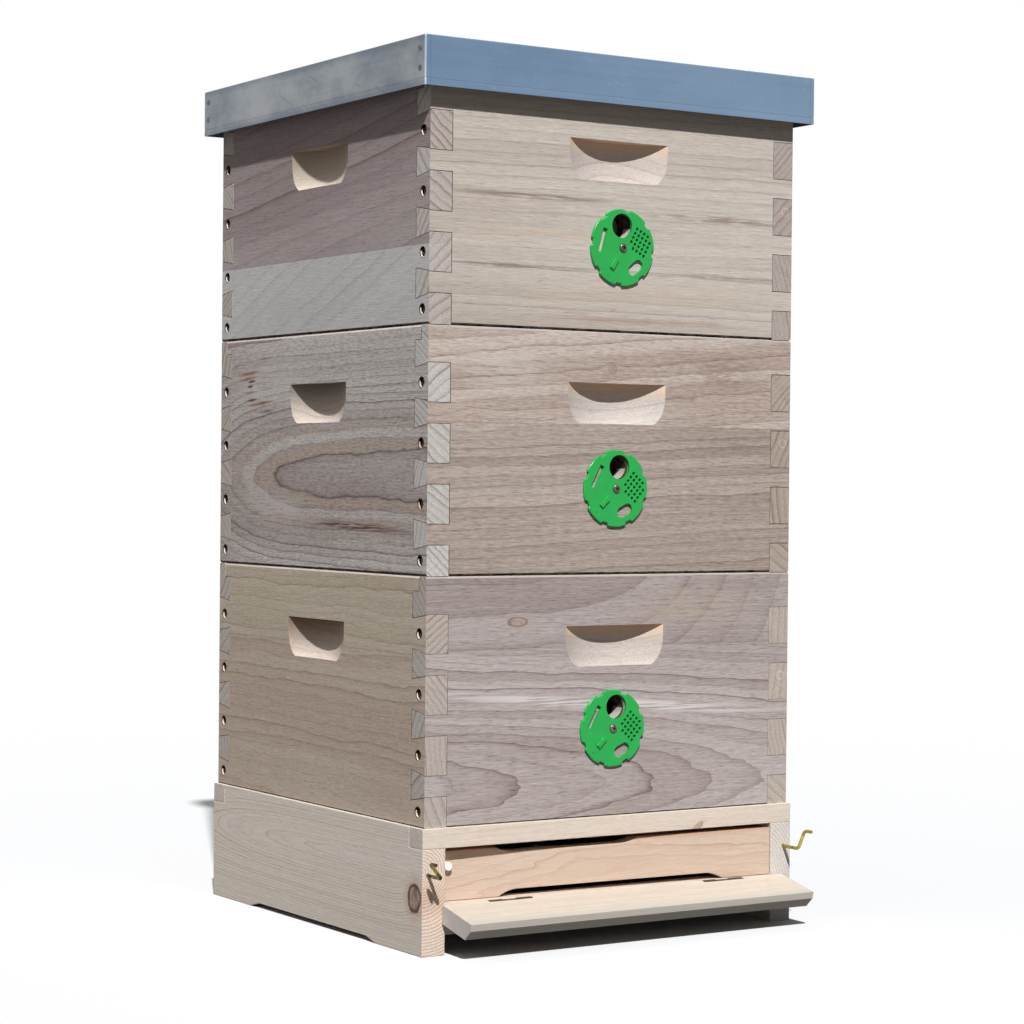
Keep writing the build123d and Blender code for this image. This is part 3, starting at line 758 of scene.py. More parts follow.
def panel_cutter(box, wall):
    """What is milled and drilled out of a panel, in front of and behind its outer face at y = 0."""
    cutter = bmesh.new()
    top = BOX_HEIGHT - HANDHOLD_BELOW_TOP
    bottom = top - HANDHOLD_HEIGHT
    axis_out = ((HANDHOLD_WIDTH / 2) ** 2 - HANDHOLD_DEPTH**2) / (2 * HANDHOLD_DEPTH)
    deep = axis_out + HANDHOLD_DEPTH
    lip = axis_out + HANDHOLD_LIP
    start = radians(20)
    rise = [start + (pi / 2 - start) * step / 6 for step in range(7)]
    hollow = [(lip + (deep - lip) * (sin(a) - sin(start)) / (1 - sin(start)),
               bottom + HANDHOLD_SLOPE * (cos(start) - cos(a)) / cos(start)) for a in rise]
    add_turned(cutter, [(0, bottom), *hollow, (deep, top), (0, top)], (0, -axis_out, 0), steps=160)
    if wall in ("front", "back"):
        ledge = BOX_HEIGHT - LEDGE_DROP
        add_box(cutter, (-HALF - MM, WALL - LEDGE_WIDTH, ledge), (HALF + MM, WALL + MM, BOX_HEIGHT + MM))
    for face in cutter.faces:
        face.material_index = FRESH_AND_HIGHLIGHT
    middle = HALF - WALL / 2
    if wall in ("left", "right"):
        for height in screw_heights():
            for x in (-middle, middle):
                add_rod(cutter, (x, height), SCREW_RECESS / 2, -2 * MM, SCREW_RECESS_DEPTH, sides=20)
    if wall == "front":
        centre = disc_centre(box)
        bore = (centre.x, centre.z - BASES[box] + DISC_HOLE_RADIUS)
        add_rod(cutter, bore, DISC_BORE / 2, -MM, WALL + MM, sides=48)
    if wall in HOLE_LIGHT_SIDES:
        shade_holes(cutter, *HOLE_LIGHT_SIDES[wall])
    return cutter


def shade_holes(cutter, across, down, least, depth):
    """Holes painted dark as painted shade, but for the pale part of their rims that faces the light, down to a
    given depth.
    """
    rods = [face for face in cutter.faces if face.material_index != FRESH_AND_HIGHLIGHT]
    edges = {edge for face in rods for edge in face.edges}
    corners = {vert for face in rods for vert in face.verts}
    bmesh.ops.bisect_plane(cutter, geom=[*rods, *edges, *corners], plane_co=(0, depth, 0), plane_no=(0, 1, 0))
    cutter.normal_update()
    for face in cutter.faces:
        if face.material_index != FRESH_AND_HIGHLIGHT:
            faces_light = face.normal.x * across + face.normal.z * down > least
            face.material_index = FRESH_AND_HIGHLIGHT if faces_light and face.calc_center_median().y < depth else DIRT_AND_SHADE


def ease_panel(bm, seam):
    """Ease a panel: wide along its top edge, rubbed round with use, and its foot, narrow elsewhere. The foot's
    bevel is painted dark, as painted shade in the seam below it; the top arris is painted in the pale milled wood,
    as a painted highlight; the joints are dark with dirt and painted shade.
    """
    close = 0.001 * MM

    def on_face(edge, height):
        return all(v.co.y < close and abs(v.co.z - height) < close for v in edge.verts)

    def in_comb(edge):
        middle = (edge.verts[0].co + edge.verts[1].co) / 2
        return middle.y < close and HALF - WALL - MM < abs(middle.x) < HALF - MM

    def paint(faces, material):
        for face in faces:
            face.material_index = material

    # The foot's bevel: painted shade in the seam below it.
    paint(bevelled(bm, [e for e in bm.edges if on_face(e, 0)], seam), DIRT_AND_SHADE)
    # The top arris: pale milled wood as a painted highlight.
    paint(bevelled(bm, [e for e in bm.edges if on_face(e, BOX_HEIGHT)], TOP_ARRIS), FRESH_AND_HIGHLIGHT)
    # The joints: dark with dirt and painted shade.
    comb = [e for e in bm.edges if in_comb(e) and e.calc_face_angle(0) > 1]
    paint(bevelled(bm, comb, JOINT_ARRIS), DIRT_AND_SHADE)
    ease_edges(bm, ARRIS)


def box_panel(box, wall, materials):
    """One dovetailed panel with its handhold, holes and ledge, and eased edges."""
    bm = cut_away(panel_blank(wall in ("left", "right")), panel_cutter(box, wall))
    ease_panel(bm, FOOT_ARRIS if box == "lower" else SEAM_ARRIS)
    turn = Matrix.Rotation(radians(WALLS[wall]), 4, "Z") @ Matrix.Translation((0, -HALF, BASES[box]))
    bmesh.ops.transform(bm, matrix=turn, verts=bm.verts)
    node = f"{box}_{wall}_panel"
    finish_piece(bm, f"{node}_milled", f"{box}_box", materials, node_slot(node), [node])


def board_axes(wall):
    """Length axis, height axis and depth of a panel, for its timber."""
    return {"front": (0, 2, (1, 1, -HALF)), "back": (0, 2, (1, -1, HALF)),
            "left": (1, 2, (0, 1, -HALF)), "right": (1, 2, (0, -1, HALF))}[wall]


# The boards of the boxes: tones as they look in full light, and how each lies in its log
GREIGE = (rgb(206, 197, 187), rgb(180, 167, 155), rgb(128, 110, 98))
TAUPE = (rgb(184, 170, 160), rgb(150, 132, 122), rgb(96, 78, 70))
ASH = (rgb(188, 178, 174), rgb(158, 144, 140), rgb(108, 90, 84))
SMOKE = (rgb(198, 191, 187), rgb(160, 148, 144), rgb(96, 80, 75))
FAWN = (rgb(200, 185, 170), rgb(178, 159, 142), rgb(132, 108, 92))
MOSS = (rgb(198, 187, 169), rgb(178, 164, 144), rgb(134, 116, 96))
PLUM = (rgb(182, 171, 169), rgb(156, 141, 140), rgb(104, 80, 78))
SILVER = (rgb(202, 201, 199), rgb(188, 186, 184), rgb(176, 168, 162))
TORN = rgb(90, 60, 48)
SPLINTER = rgb(142, 106, 78)
BORE_DARK = rgb(72, 54, 40)
HEART_RIM = rgb(176, 156, 138)
KNOT_HEART = (rgb(112, 86, 74), rgb(182, 160, 146))
KNOT_HALO = rgb(186, 146, 112)
KNOT_RIM = rgb(70, 42, 30)
BARE = (rgb(200, 191, 184), rgb(188, 176, 167), rgb(154, 130, 112))
HONEY = (rgb(228, 218, 208), rgb(216, 201, 188), rgb(180, 148, 126))
# Painted shade in the handholds, warm with bounced light: one tone for the fronts and one for each box's sides.
FRONT_PAINTED_SHADE = rgb(232, 202, 172)
SIDE_PAINTED_SHADES = {"upper": rgb(160, 143, 120), "middle": rgb(108, 94, 82), "lower": rgb(110, 76, 38)}
END_GRAIN = rgb(190, 184, 178)
END_TONES = {"upper_front": rgb(208, 205, 202), "middle_front": rgb(208, 208, 206),
             "upper_left": rgb(187, 179, 172), "upper_right": rgb(175, 164, 157),
             "middle_left": rgb(201, 199, 195), "middle_right": rgb(176, 163, 149),
             "lower_left": rgb(184, 176, 170), "lower_right": rgb(186, 175, 164)}
# Dark joints, seams and the shaded walls of holes: dirt and painted shade.
DIRT_AND_SHADE_TONES = (rgb(88, 76, 66), rgb(18, 13, 10))


def torn_dashes(base):
    """Short splinters torn out beside the handhold: place, half length, half width, strength and tone."""
    dashes = ((158, 206.7, 40, 3.4, 1.0, SPLINTER), (157, 201.2, 30, 2.8, 1.0, SPLINTER),
              (149, 198.1, 13, 2.0, 1.3, TORN), (153, 192.7, 10, 2.0, 1.3, TORN),
              (154, 186.0, 14, 1.6, 0.6, TORN), (150, 177.8, 18, 2.0, 1.2, TORN),
              (130, 173.9, 42, 2.6, 1.1, SPLINTER), (116, 165.3, 26, 1.8, 0.7, TORN))
    return [Scar(along * MM, base + up * MM, length * MM, width * MM, strength, tone, lean=-0.07, solid=0.75)
            for along, up, length, width, strength, tone in dashes]


def bore_darkening(box):
    """A dark patch round the bore of a box, behind its disc."""
    centre = disc_centre(box)
    return Scar(centre.x, centre.z + DISC_HOLE_RADIUS, 18 * MM, 18 * MM, 6.0, BORE_DARK, solid=1.0)


def upper_boards(base):
    """The upper box's pale front with its torn streaks, and its plum and silver left side."""
    front = dict(tones=GREIGE, seed=3.1, lines=0.55, pores=0.35, years=0.3, fuzz=0.3,
                 figure=Figure(0.1, base + 0.42, 0.16, lean=-0.01, ring=9 * MM),
                 second=Figure(-0.1, base - 0.2, 0.10, lean=0.02, ring=11 * MM),
                 seam=base + 0.062, seam_shades=(0.96, 1.0),
                 scars=(Scar(-0.11, base + 0.131, 0.14, 4.5 * MM),
                        Scar(0.12, base + 0.121, 0.12, 5 * MM, 0.7),
                        Scar(-0.12, base + 0.061, 0.1, 4 * MM, 0.7),
                        Scar(0.14, base + 0.062, 0.1, 4 * MM, 0.4),
                        Scar(0.0, base + 0.012, 0.22, 5 * MM, 0.6, rgb(164, 134, 118)),
                        Scar(-0.05, base + 0.095, 0.2, 12 * MM, 0.4, rgb(206, 182, 160)),
                        Scar(0.03, base + 0.04, 0.26, 22 * MM, 0.35, rgb(206, 184, 160)),
                        bore_darkening("upper")))
    left = dict(tones=SILVER, second_tones=PLUM, seed=14.2, lines=0.9, pores=0.4, years=0.3, fuzz=0.4,
                patches=0.8, waver=6 * MM, seam=base + 0.078, seam_shades=(1.02, 0.94),
                figure=Figure(0.0, base - 0.2, 0.2, lean=-0.4, ring=15 * MM),
                second=Figure(0.05, base + 0.05, 0.04, lean=-0.11, plunge=0.04, ring=16 * MM))
    return front, left


def middle_boards(base):
    """The middle box's brown front, and its left side with the heart of the log and torn splinters."""
    front = dict(tones=TAUPE, seed=9.4, lines=0.6, pores=0.6, years=0.5, fuzz=0.9, streaks=0.15,
                 waver=8 * MM, figure=Figure(0.3, base - 0.10, 0.08, lean=0.05, ring=9 * MM),
                 second=Figure(-0.2, base + 0.34, 0.10, lean=0.09, ring=10 * MM),
                 seam=base + 0.150, seam_shades=(0.98, 1.22),
                 knots=(Knot(-0.006, base + 0.207, 5 * MM, 5 * MM, 5 * MM, 0.3),
                        Knot(-0.171, base + 0.152, 9 * MM, 6 * MM, 9 * MM, 0.15)),
                 scars=(Scar(0.14, base + 0.207, 55 * MM, 22 * MM, 0.5, rgb(128, 108, 98)),
                        Scar(-0.14, base + 0.202, 75 * MM, 32 * MM, 0.5, rgb(206, 196, 188)),
                        bore_darkening("middle")))
    left = dict(tones=SMOKE, seed=21.8, lines=1.1, pores=0.6, years=0.5, fuzz=1.2, streaks=0.16, patches=0.9,
                waver=6.5 * MM, heart=8.0, seam=base + 0.223, seam_shades=(1.0, 1.04),
                figure=Figure(-HALF, base + 0.095, 0.0513, hook=0.85, ring=7 * MM),
                second=Figure(0.0, base + 0.5, 0.1, lean=-0.02, ring=12 * MM),
                scars=(Scar(0.12, base + 0.2, 0.12, 40 * MM, 0.6, rgb(204, 196, 190)),
                       Scar(0.11, base + 0.062, 0.15, 32 * MM, 0.6, rgb(200, 192, 187)),
                       Scar(-0.08, base + 0.046, 0.14, 6 * MM, 1.0, TORN, lean=0.03),
                       *torn_dashes(base)))
    return front, left


def lower_boards(base):
    """The lower box's grey front with a knot and a pale streak, and its warm left side."""
    front = dict(tones=ASH, seed=5.7, lines=1.0, pores=0.6, years=0.45, waver=8 * MM,
                 figure=Figure(-0.09, base + 0.035, 0.05, lean=-0.02, plunge=0.085, ring=7 * MM),
                 second=Figure(-HALF, base + 0.30, 0.0, bow=1.2, ring=33 * MM),
                 seam=base + 0.172, seam_shades=(1.0, 0.92),
                 knots=(Knot(-0.117, base + 0.198, 11 * MM, 4.5 * MM, 5 * MM, 0.5),),
                 scars=(Scar(0.0, base + 0.113, 0.29, 8.5 * MM, 1.1, rgb(214, 207, 204), lean=-0.07),
                        Scar(0.1, base + 0.21, 0.13, 36 * MM, 0.5, rgb(190, 172, 154)),
                        bore_darkening("lower")))
    left = dict(tones=FAWN, second_tones=MOSS, seed=27.3, lines=0.7, pores=0.3, years=0.35, waver=14 * MM,
                figure=Figure(0.1, base - 0.12, 0.05, lean=0.02, ring=12 * MM),
                second=Figure(0.0, base + 0.4, 0.1, lean=-0.02, ring=9 * MM),
                seam=base + 0.167, seam_shades=(0.97, 0.98))
    return front, left


def plain_boards(base, tones, height, plunge, seed):
    """A right or back panel of two glued boards, the lower one's pith at this height."""
    return dict(tones=tones, seed=seed, lines=0.5, waver=6 * MM, seam=base + 0.14, seam_shades=(1.0, 0.97),
                figure=Figure(0.05, base + height, 0.06, lean=0.03, plunge=plunge, ring=8 * MM),
                second=Figure(-0.1, base + 0.3, 0.12, lean=-0.03, ring=11 * MM))


def panel_boards():
    """Figure, tones and marks of each panel's boards."""
    shown = {box: boards(BASES[box]) for box, boards in
             (("upper", upper_boards), ("middle", middle_boards), ("lower", lower_boards))}
    looks = {f"{box}_front": front for box, (front, left) in shown.items()}
    looks.update({f"{box}_left": left for box, (front, left) in shown.items()})
    spare = [(GREIGE, 0.04, 0.12), (TAUPE, 0.15, 0.06), (ASH, 0.09, -0.1), (FAWN, 0.2, 0.05),
             (SMOKE, 0.12, 0.2), (GREIGE, 0.02, -0.16)]
    hidden = [(box, wall) for box in BOXES for wall in ("right", "back")]
    for count, ((box, wall), board) in enumerate(zip(hidden, spare)):
        looks[f"{box}_{wall}"] = plain_boards(BASES[box], *board, seed=33.0 + 7.7 * count)
    return looks


def milled_look(box, wall, look):
    """A panel's look where it is freshly milled: bare wood, with painted shade, warm with bounced light, rising
    towards the top of its handhold. The same material gives the painted highlight on the top arris.
    """
    side = wall in ("left", "right")
    top = BASES[box] + BOX_HEIGHT - HANDHOLD_BELOW_TOP
    shade_from = top - (1.15 if side else 0.5) * HANDHOLD_HEIGHT
    painted_shade_tone = SIDE_PAINTED_SHADES[box] if side else FRONT_PAINTED_SHADE
    return dict(look, tones=HONEY if side else BARE, second=None, second_tones=None, knots=(), scars=(),
                seam_shades=(1.0, 1.0), lines=0.6, pores=0.1, patches=0.3, fuzz=0.2,
                fade=(2, shade_from, top, painted_shade_tone), fade_span=0.75 * HANDHOLD_WIDTH)


def make_boxes():
    """The twelve panels, each of its own boards, the right ones with a ring mark on their front ends."""
    # The third material of a panel: dirt and painted shade.
    joint = plain_material("dirt_and_painted_shade", DIRT_AND_SHADE_TONES, 0.8, grain=110, spread=1.4, gloss=0.1)
    pitch = SIDE_FINGER + FRONT_FINGER
    for panel, look in panel_boards().items():
        box, wall = panel.split("_")
        axes = board_axes(wall)
        gap = -10 * MM if wall in ("left", "right") else 20 * MM
        deep, high, radius = 9.5 * MM, BASES[box] + 135 * MM, 4.2 * MM
        mark = (deep, high, radius) if wall == "right" else None
        board = Board(axes, end_tone=END_TONES.get(panel, END_GRAIN), fingers=(BASES[box] + gap, pitch),
                      mark=mark, **look)
        weathered = timber(f"{panel}_board", board)
        # The milled material: fresh wood, with painted shade in the handholds and a painted highlight on the top
        # arris.
        fresh = timber(f"{panel}_milled", Board(axes, **milled_look(box, wall, look)))
        box_panel(box, wall, [weathered, fresh, joint])


# Screws and discs


def plus_outline(reach, width):
    """Outline of a cross recess."""
    arm = width / 2
    quarter = [(reach, -arm), (reach, arm), (arm, arm)]
    turns = [Matrix.Rotation(pi / 2 * step, 2) for step in range(4)]
    return [tuple(turn @ Vector(point)) for turn in turns for point in quarter]


def cross_head(radius, height, slot, depth):
    """A domed screw head with a cross recess, its seat at y = 0 and its top towards -Y."""
    bm = bmesh.new()
    steps = 6
    rise = [step * pi / 2 / steps for step in range(steps)]
    crown = [(radius * cos(a), height * (0.35 + 0.65 * sin(a))) for a in rise]
    profile = [(0, 0), (radius * 0.96, 0), (radius, height * 0.12), *crown, (0, height)]
    add_turned(bm, profile, (0, 0, 0), steps=28)
    bmesh.ops.rotate(bm, verts=bm.verts, cent=(0, 0, 0), matrix=Matrix.Rotation(pi / 2, 3, "X"))
    cutter = prism(plus_outline(radius * 0.6, slot), depth + MM)
    bmesh.ops.translate(cutter, verts=cutter.verts, vec=(0, -height - MM, 0))
    # The cross recess takes the second material: painted shade.
    for face in cutter.faces:
        face.material_index = RECESS
    return cut_away(bm, cutter)


def copies(pattern, places):
    """One bmesh with a copy of a pattern at each place, given as matrices."""
    mesh = bpy.data.meshes.new("pattern")
    pattern.to_mesh(mesh)
    pattern.free()
    bm = bmesh.new()
    for place in places:
        before = len(bm.verts)
        bm.from_mesh(mesh)
        bm.verts.ensure_lookup_table()
        bmesh.ops.transform(bm, matrix=place, verts=bm.verts[before:])
    bpy.data.meshes.remove(mesh)
    return bm


def make_corner_screws(yellow_zinc, recess):
    """Yellow screws deep in their holes, up both side panels of each box."""
    middle = HALF - WALL / 2
    for box in BOXES:
        places = []
        for count, height in enumerate(screw_heights()):
            for wall in ("left", "right"):
                for number, x in enumerate((-middle, middle)):
                    twist = Matrix.Rotation(radians(37 * count + 61 * number + 23 * len(box)), 4, "Y")
                    seat = Matrix.Translation((x, -HALF + SCREW_RECESS_DEPTH, BASES[box] + height))
                    places.append(Matrix.Rotation(radians(WALLS[wall]), 4, "Z") @ seat @ twist)
        head = cross_head(radius=4.4 * MM, height=1.2 * MM, slot=1.5 * MM, depth=0.9 * MM)
        bm = copies(head, places)
        node = f"{box}_corner_screws"
        finish_piece(bm, f"{node}_heads", f"{box}_box", [yellow_zinc, recess], node_slot(node), [node])


def disc_centre(box):
    """Where an entrance disc turns on the front of its box."""
    return Vector(next(joint["pos_m"] for joint in frame["joints"] if joint["child"] == f"{box}_disc"))


def on_disc(angle, distance):
    """A place on a disc's face, by its angle and its distance from the middle."""
    return distance * cos(radians(angle)), distance * sin(radians(angle))


def put_on_disc(bm, verts, angle, distance):
    """Turn what was drawn at the middle of a disc and move it out to its place."""
    x, z = on_disc(angle, distance)
    bmesh.ops.rotate(bm, verts=verts, cent=(0, 0, 0), matrix=Matrix.Rotation(-radians(angle), 3, "Y"))
    bmesh.ops.translate(bm, verts=verts, vec=(x, 0, z))


def add_disc_box(cutter, width, length):
    """A box right through the middle of a disc."""
    low = (-width / 2, -DISC_THICKNESS - MM, -length / 2)
    high = (width / 2, MM, length / 2)
    return add_box(cutter, low, high)


def disc_notches():
    """The eight notches round the edge of a disc, as a cutter."""
    cutter = bmesh.new()
    notches, first_angle, narrowing = 8, 80, 0.58
    for count in range(notches):
        notch = add_disc_box(cutter, 5.2 * MM, 10 * MM)
        for vert in notch:
            vert.co.z *= 1.0 if vert.co.x > 0 else narrowing
        put_on_disc(cutter, notch, first_angle + 360 / notches * count, DISC_RADIUS)
    return cutter


def disc_openings():
    """The open hole, the slot, the oval, the grid of air holes and the screw hole of a disc, as a cutter."""
    cutter = bmesh.new()
    front, back = -DISC_THICKNESS - MM, MM
    open_hole, air_hole, screw_hole = 12.25 * MM, 1.75 * MM, 2.1 * MM
    add_rod(cutter, on_disc(90, DISC_HOLE_RADIUS), open_hole, front, back, sides=64)
    slot = add_disc_box(cutter, 5.2 * MM, 25 * MM)
    put_on_disc(cutter, slot, 162, 25.5 * MM)
    oval = add_disc_box(cutter, 11.6 * MM, 19 * MM)
    uprights = [e for e in cutter.edges if all(v in oval for v in e.verts)
                and abs(e.verts[0].co.y - e.verts[1].co.y) > MM]
    rounded = bevelled(cutter, uprights, 5.5 * MM, 6)
    around = {v for f in rounded for v in f.verts} | {v for v in oval if v.is_valid}
    put_on_disc(cutter, list(around), 306, 25 * MM)
    rows = [(count - 2) * 5 * MM for count in range(5)]
    grid = Vector(on_disc(13, 22.4 * MM))
    tilt = Matrix.Rotation(radians(-31), 2)
    for x in rows:
        for z in rows:
            if abs(x + z) < 2 * rows[-1]:
                add_rod(cutter, grid + tilt @ Vector((x, z)), air_hole, front, back, sides=10)
    add_rod(cutter, (0, 0), screw_hole, front, back, sides=24)
    return cutter


def disc_rib():
    """The raised finger rib of a disc and the pip beyond it."""
    rib = bmesh.new()
    angle, half_length, half_width, height, sunk = 234, 6.4 * MM, 2.4 * MM, 2.3 * MM, 0.4 * MM
    add_box(rib, (-half_length, -height, -half_width), (half_length, sunk, half_width))
    ease_edges(rib, 0.7 * MM)
    put_on_disc(rib, rib.verts, angle, 19.6 * MM)
    add_rod(rib, on_disc(angle, 33 * MM), 1.1 * MM, -0.5 * MM, 0.2 * MM, sides=12, taper=1.3)
    bmesh.ops.translate(rib, verts=rib.verts, vec=(0, -DISC_THICKNESS, 0))
    return rib


def disc_blank():
    """The entrance disc, face towards -Y with its back at y = 0, turned to its open hole at the top."""
    bm = bmesh.new()
    add_rod(bm, (0, 0), DISC_RADIUS, -DISC_THICKNESS, 0, sides=160)
    bm = cut_away(bm, disc_notches())
    bmesh.ops.remove_doubles(bm, verts=bm.verts, dist=0.5 * MM)
    ease_edges(bm, 1.3 * MM, 3)
    bmesh.ops.remove_doubles(bm, verts=bm.verts, dist=0.05 * MM)
    bm = cut_away(bm, disc_openings())
    mesh = bpy.data.meshes.new("rib")
    rib = disc_rib()
    rib.to_mesh(mesh)
    rib.free()
    bm.from_mesh(mesh)
    bpy.data.meshes.remove(mesh)
    for face in bm.faces:
        face.material_index = 0
    return bm


def make_discs(green, steel, recess):
    """The three entrance discs and their screws."""
    for box in BOXES:
        node = f"{box}_entrance_disc"
        middle = disc_centre(box)
        place = Matrix.Translation((middle.x, -HALF - DISC_GAP, middle.z))
        bm = copies(disc_blank(), [place @ Matrix.Rotation(-radians(DISC_TURNS[box]), 4, "Y")])
        finish_piece(bm, f"{box}_disc", f"{box}_disc", green, node_slot(node), [node])
        seat = Matrix.Translation((middle.x, -HALF - DISC_THICKNESS - 2 * DISC_GAP, middle.z))
        head = cross_head(radius=4.2 * MM, height=2.4 * MM, slot=1.3 * MM, depth=1.6 * MM)
        bm = copies(head, [seat @ Matrix.Rotation(radians(20), 4, "Y")])
        node = f"{box}_disc_screw"
        finish_piece(bm, f"{node}_head", f"{box}_box", [steel, recess], node_slot(node), [node])


# Floor


SPRUCE = (rgb(226, 213, 200), rgb(213, 196, 179), rgb(184, 152, 122))
PALE = (rgb(226, 216, 205), rgb(211, 199, 186), rgb(158, 132, 108))
PEACH = (rgb(215, 195, 178), rgb(203, 178, 157), rgb(176, 140, 112))
CREAM = (rgb(213, 202, 188), rgb(202, 188, 171), rgb(176, 154, 130))
RED_RING = rgb(186, 134, 104)
GREY_END = rgb(218, 212, 206)


def spruce(name, node, length_axis, figure, up_axis=2, **changes):
    """Planed spruce for a floor timber, with its depth axis across the board."""
    depth_axis = 3 - length_axis - up_axis
    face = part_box(node)[0][depth_axis]
    look = dict(tones=SPRUCE, waver=2.5 * MM, lines=0.45, streaks=0.05, pores=0.1, fuzz=0.25, fibres=0.45,
                patches=0.35, years=0.3, end_tone=GREY_END)
    look.update(changes)
    return timber(name, Board((length_axis, up_axis, (depth_axis, 1, face)), figure, **look))


def notch_arc(head, foot, height, count=10):
    """Points of the rounded end of a bee notch, from its foot up to its flat head."""
    reach = foot - head
    radius = (reach**2 + height**2) / (2 * height)
    sweep = atan2(reach, radius - height)
    return [(head + radius * sin(a), height - radius * (1 - cos(a))) for a in
            (sweep * (1 - step / count) for step in range(count + 1))]


def make_reducer(wood):
    """The entrance reducer with its wide notch below and its narrow notch above, pushed in askew."""
    low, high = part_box("entrance_reducer")
    top = high.z - REDUCER_GAP
    wide = notch_arc(head=113 * MM, foot=135 * MM, height=6.5 * MM)
    narrow = notch_arc(head=62 * MM, foot=84 * MM, height=5 * MM)
    wide_shift, narrow_shift = 3.5 * MM, -51.5 * MM
    outline = [(-REDUCER_HALF, low.z)]
    outline += [(wide_shift - x, low.z + z) for x, z in wide]
    outline += [(wide_shift + x, low.z + z) for x, z in reversed(wide)]
    outline += [(REDUCER_HALF, low.z), (REDUCER_HALF, top)]
    outline += [(narrow_shift + x, top - z) for x, z in narrow]
    outline += [(narrow_shift - x, top - z) for x, z in reversed(narrow)]
    outline += [(-REDUCER_HALF, top)]
    bm = prism(outline, REDUCER_THICKNESS)
    ease_edges(bm, SOFT_ARRIS)
    place_on_reducer(bm)
    node = "entrance_reducer"
    finish_piece(bm, "entrance_reducer_bar", node, wood, node_slot(node), [node])


def place_on_reducer(bm):
    """Move what is drawn on the reducer's face at y = 0 to its skewed place in the entrance."""
    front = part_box("left_rail")[0].y + REDUCER_RECESS
    place = Matrix.Translation((0, front, 0)) @ Matrix.Rotation(-radians(REDUCER_SKEW), 4, "Z")
    bmesh.ops.transform(bm, matrix=place, verts=bm.verts)


def make_hook(node, tilt, wire):
    """A bent wire hook with round bends."""
    radius, bend = 1.78 * MM, 3.6 * MM
    embed, reach, leg, tip = 18 * MM, 25 * MM, 20 * MM, 11.4 * MM
    joint = next(j for j in frame["joints"] if j["child"] == node)
    bm = bmesh.new()
    ring = bmesh.ops.create_circle(bm, segments=20, radius=radius, cap_ends=False)["verts"]
    bmesh.ops.rotate(bm, verts=ring, cent=(0, 0, 0), matrix=Matrix.Rotation(pi / 2, 3, "X"))
    bmesh.ops.translate(bm, verts=ring, vec=(0, embed, 0))
    end = list({e for v in ring for e in v.link_edges})
    bm.faces.new(ring)

    def straight(edges, vector):
        made = bmesh.ops.extrude_edge_only(bm, edges=edges)["geom"]
        bmesh.ops.translate(bm, verts=[g for g in made if isinstance(g, bmesh.types.BMVert)], vec=vector)
        return [g for g in made if isinstance(g, bmesh.types.BMEdge) and len(g.link_faces) == 1]

    def curve(edges, centre, angle):
        made = bmesh.ops.spin(bm, geom=edges, cent=centre, axis=(1, 0, 0), angle=angle, steps=8)["geom_last"]
        return [g for g in made if isinstance(g, bmesh.types.BMEdge)]

    end = straight(end, (0, -embed - reach + bend, 0))
    end = curve(end, (0, -reach + bend, bend), -pi / 2)
    end = straight(end, (0, 0, leg - 2 * bend))
    end = curve(end, (0, -reach - bend, leg - bend), pi / 2)
    end = straight(end, (0, -tip + bend, 0))
    cap = bmesh.ops.edgeloop_fill(bm, edges=end)["faces"]
    bevelled(bm, [e for f in cap for e in f.edges], 0.5 * MM)
    bmesh.ops.recalc_face_normals(bm, faces=bm.faces)
    place = Matrix.Translation(joint["pos_m"]) @ Matrix.Rotation(radians(tilt), 4, "Y")
    bmesh.ops.transform(bm, matrix=place, verts=bm.verts)
    finish_piece(bm, f"{node}_wire", node, wire, node_slot(node), [node])


def make_rails():
    """The side rails, the cross rails and boards, and the battens of the mesh."""
    tongue = Figure(0.084, 0.082, 0.010, plunge=0.08, bow=0.16, ring=3 * MM)
    knot = Knot(-0.211, 0.0555, 11 * MM, 13 * MM, 10 * MM)
    rail = spruce("left_rail_spruce", "left_rail", 1, tongue, tones=PALE, knots=(knot,), seed=2.2, lines=0.9,
                  waver=2 * MM, end_tone=rgb(234, 218, 202), end_line=RED_RING)
    eased_node("left_rail", "bottom_board", rail, SOFT_ARRIS)
    bowed = Figure(0, 0.03, 0.05, bow=0.2, ring=3.6 * MM)
    rail = spruce("right_rail_spruce", "right_rail", 1, bowed, tones=PALE, seed=6.1,
                  end_line=rgb(186, 176, 170))
    eased_node("right_rail", "bottom_board", rail, SOFT_ARRIS)
    cross = Figure(0, 0.15, 0.06, lean=0.02, ring=3 * MM)
    small_knot = Knot(0.1045, 0.1065, 6 * MM, 3.2 * MM, 3 * MM, 0.5, lean=0.5)
    for count, node in enumerate(("front_rail", "rear_rail", "rear_board", "front_sill")):
        knots = (small_knot,) if node == "front_rail" else ()
        wood = spruce(f"{node}_spruce", node, 0, cross, seed=4.0 + 3 * count, knots=knots)
        eased_node(node, "bottom_board", wood, SOFT_ARRIS)
    eased_node("mesh_battens", "bottom_board", spruce("batten_spruce", "mesh_battens", 1, cross, seed=8.8))


def make_landing_board():
    """The landing board, grey along its front lip."""
    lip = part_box("landing_board")[0].y
    straight = Figure(0, -0.16, 0.03, lean=0.01, ring=3.4 * MM)
    grey_lip = (1, lip + 14 * MM, lip + 3 * MM, rgb(196, 189, 178))
    board = spruce("landing_spruce", "landing_board", 0, straight, up_axis=1, tones=CREAM, seed=12.0,
                   lines=0.35, fade=grey_lip, end_tone=rgb(204, 198, 196),
                   end_line=rgb(188, 182, 180))
    eased_node("landing_board", "landing_board", board, ARRIS, least=15)


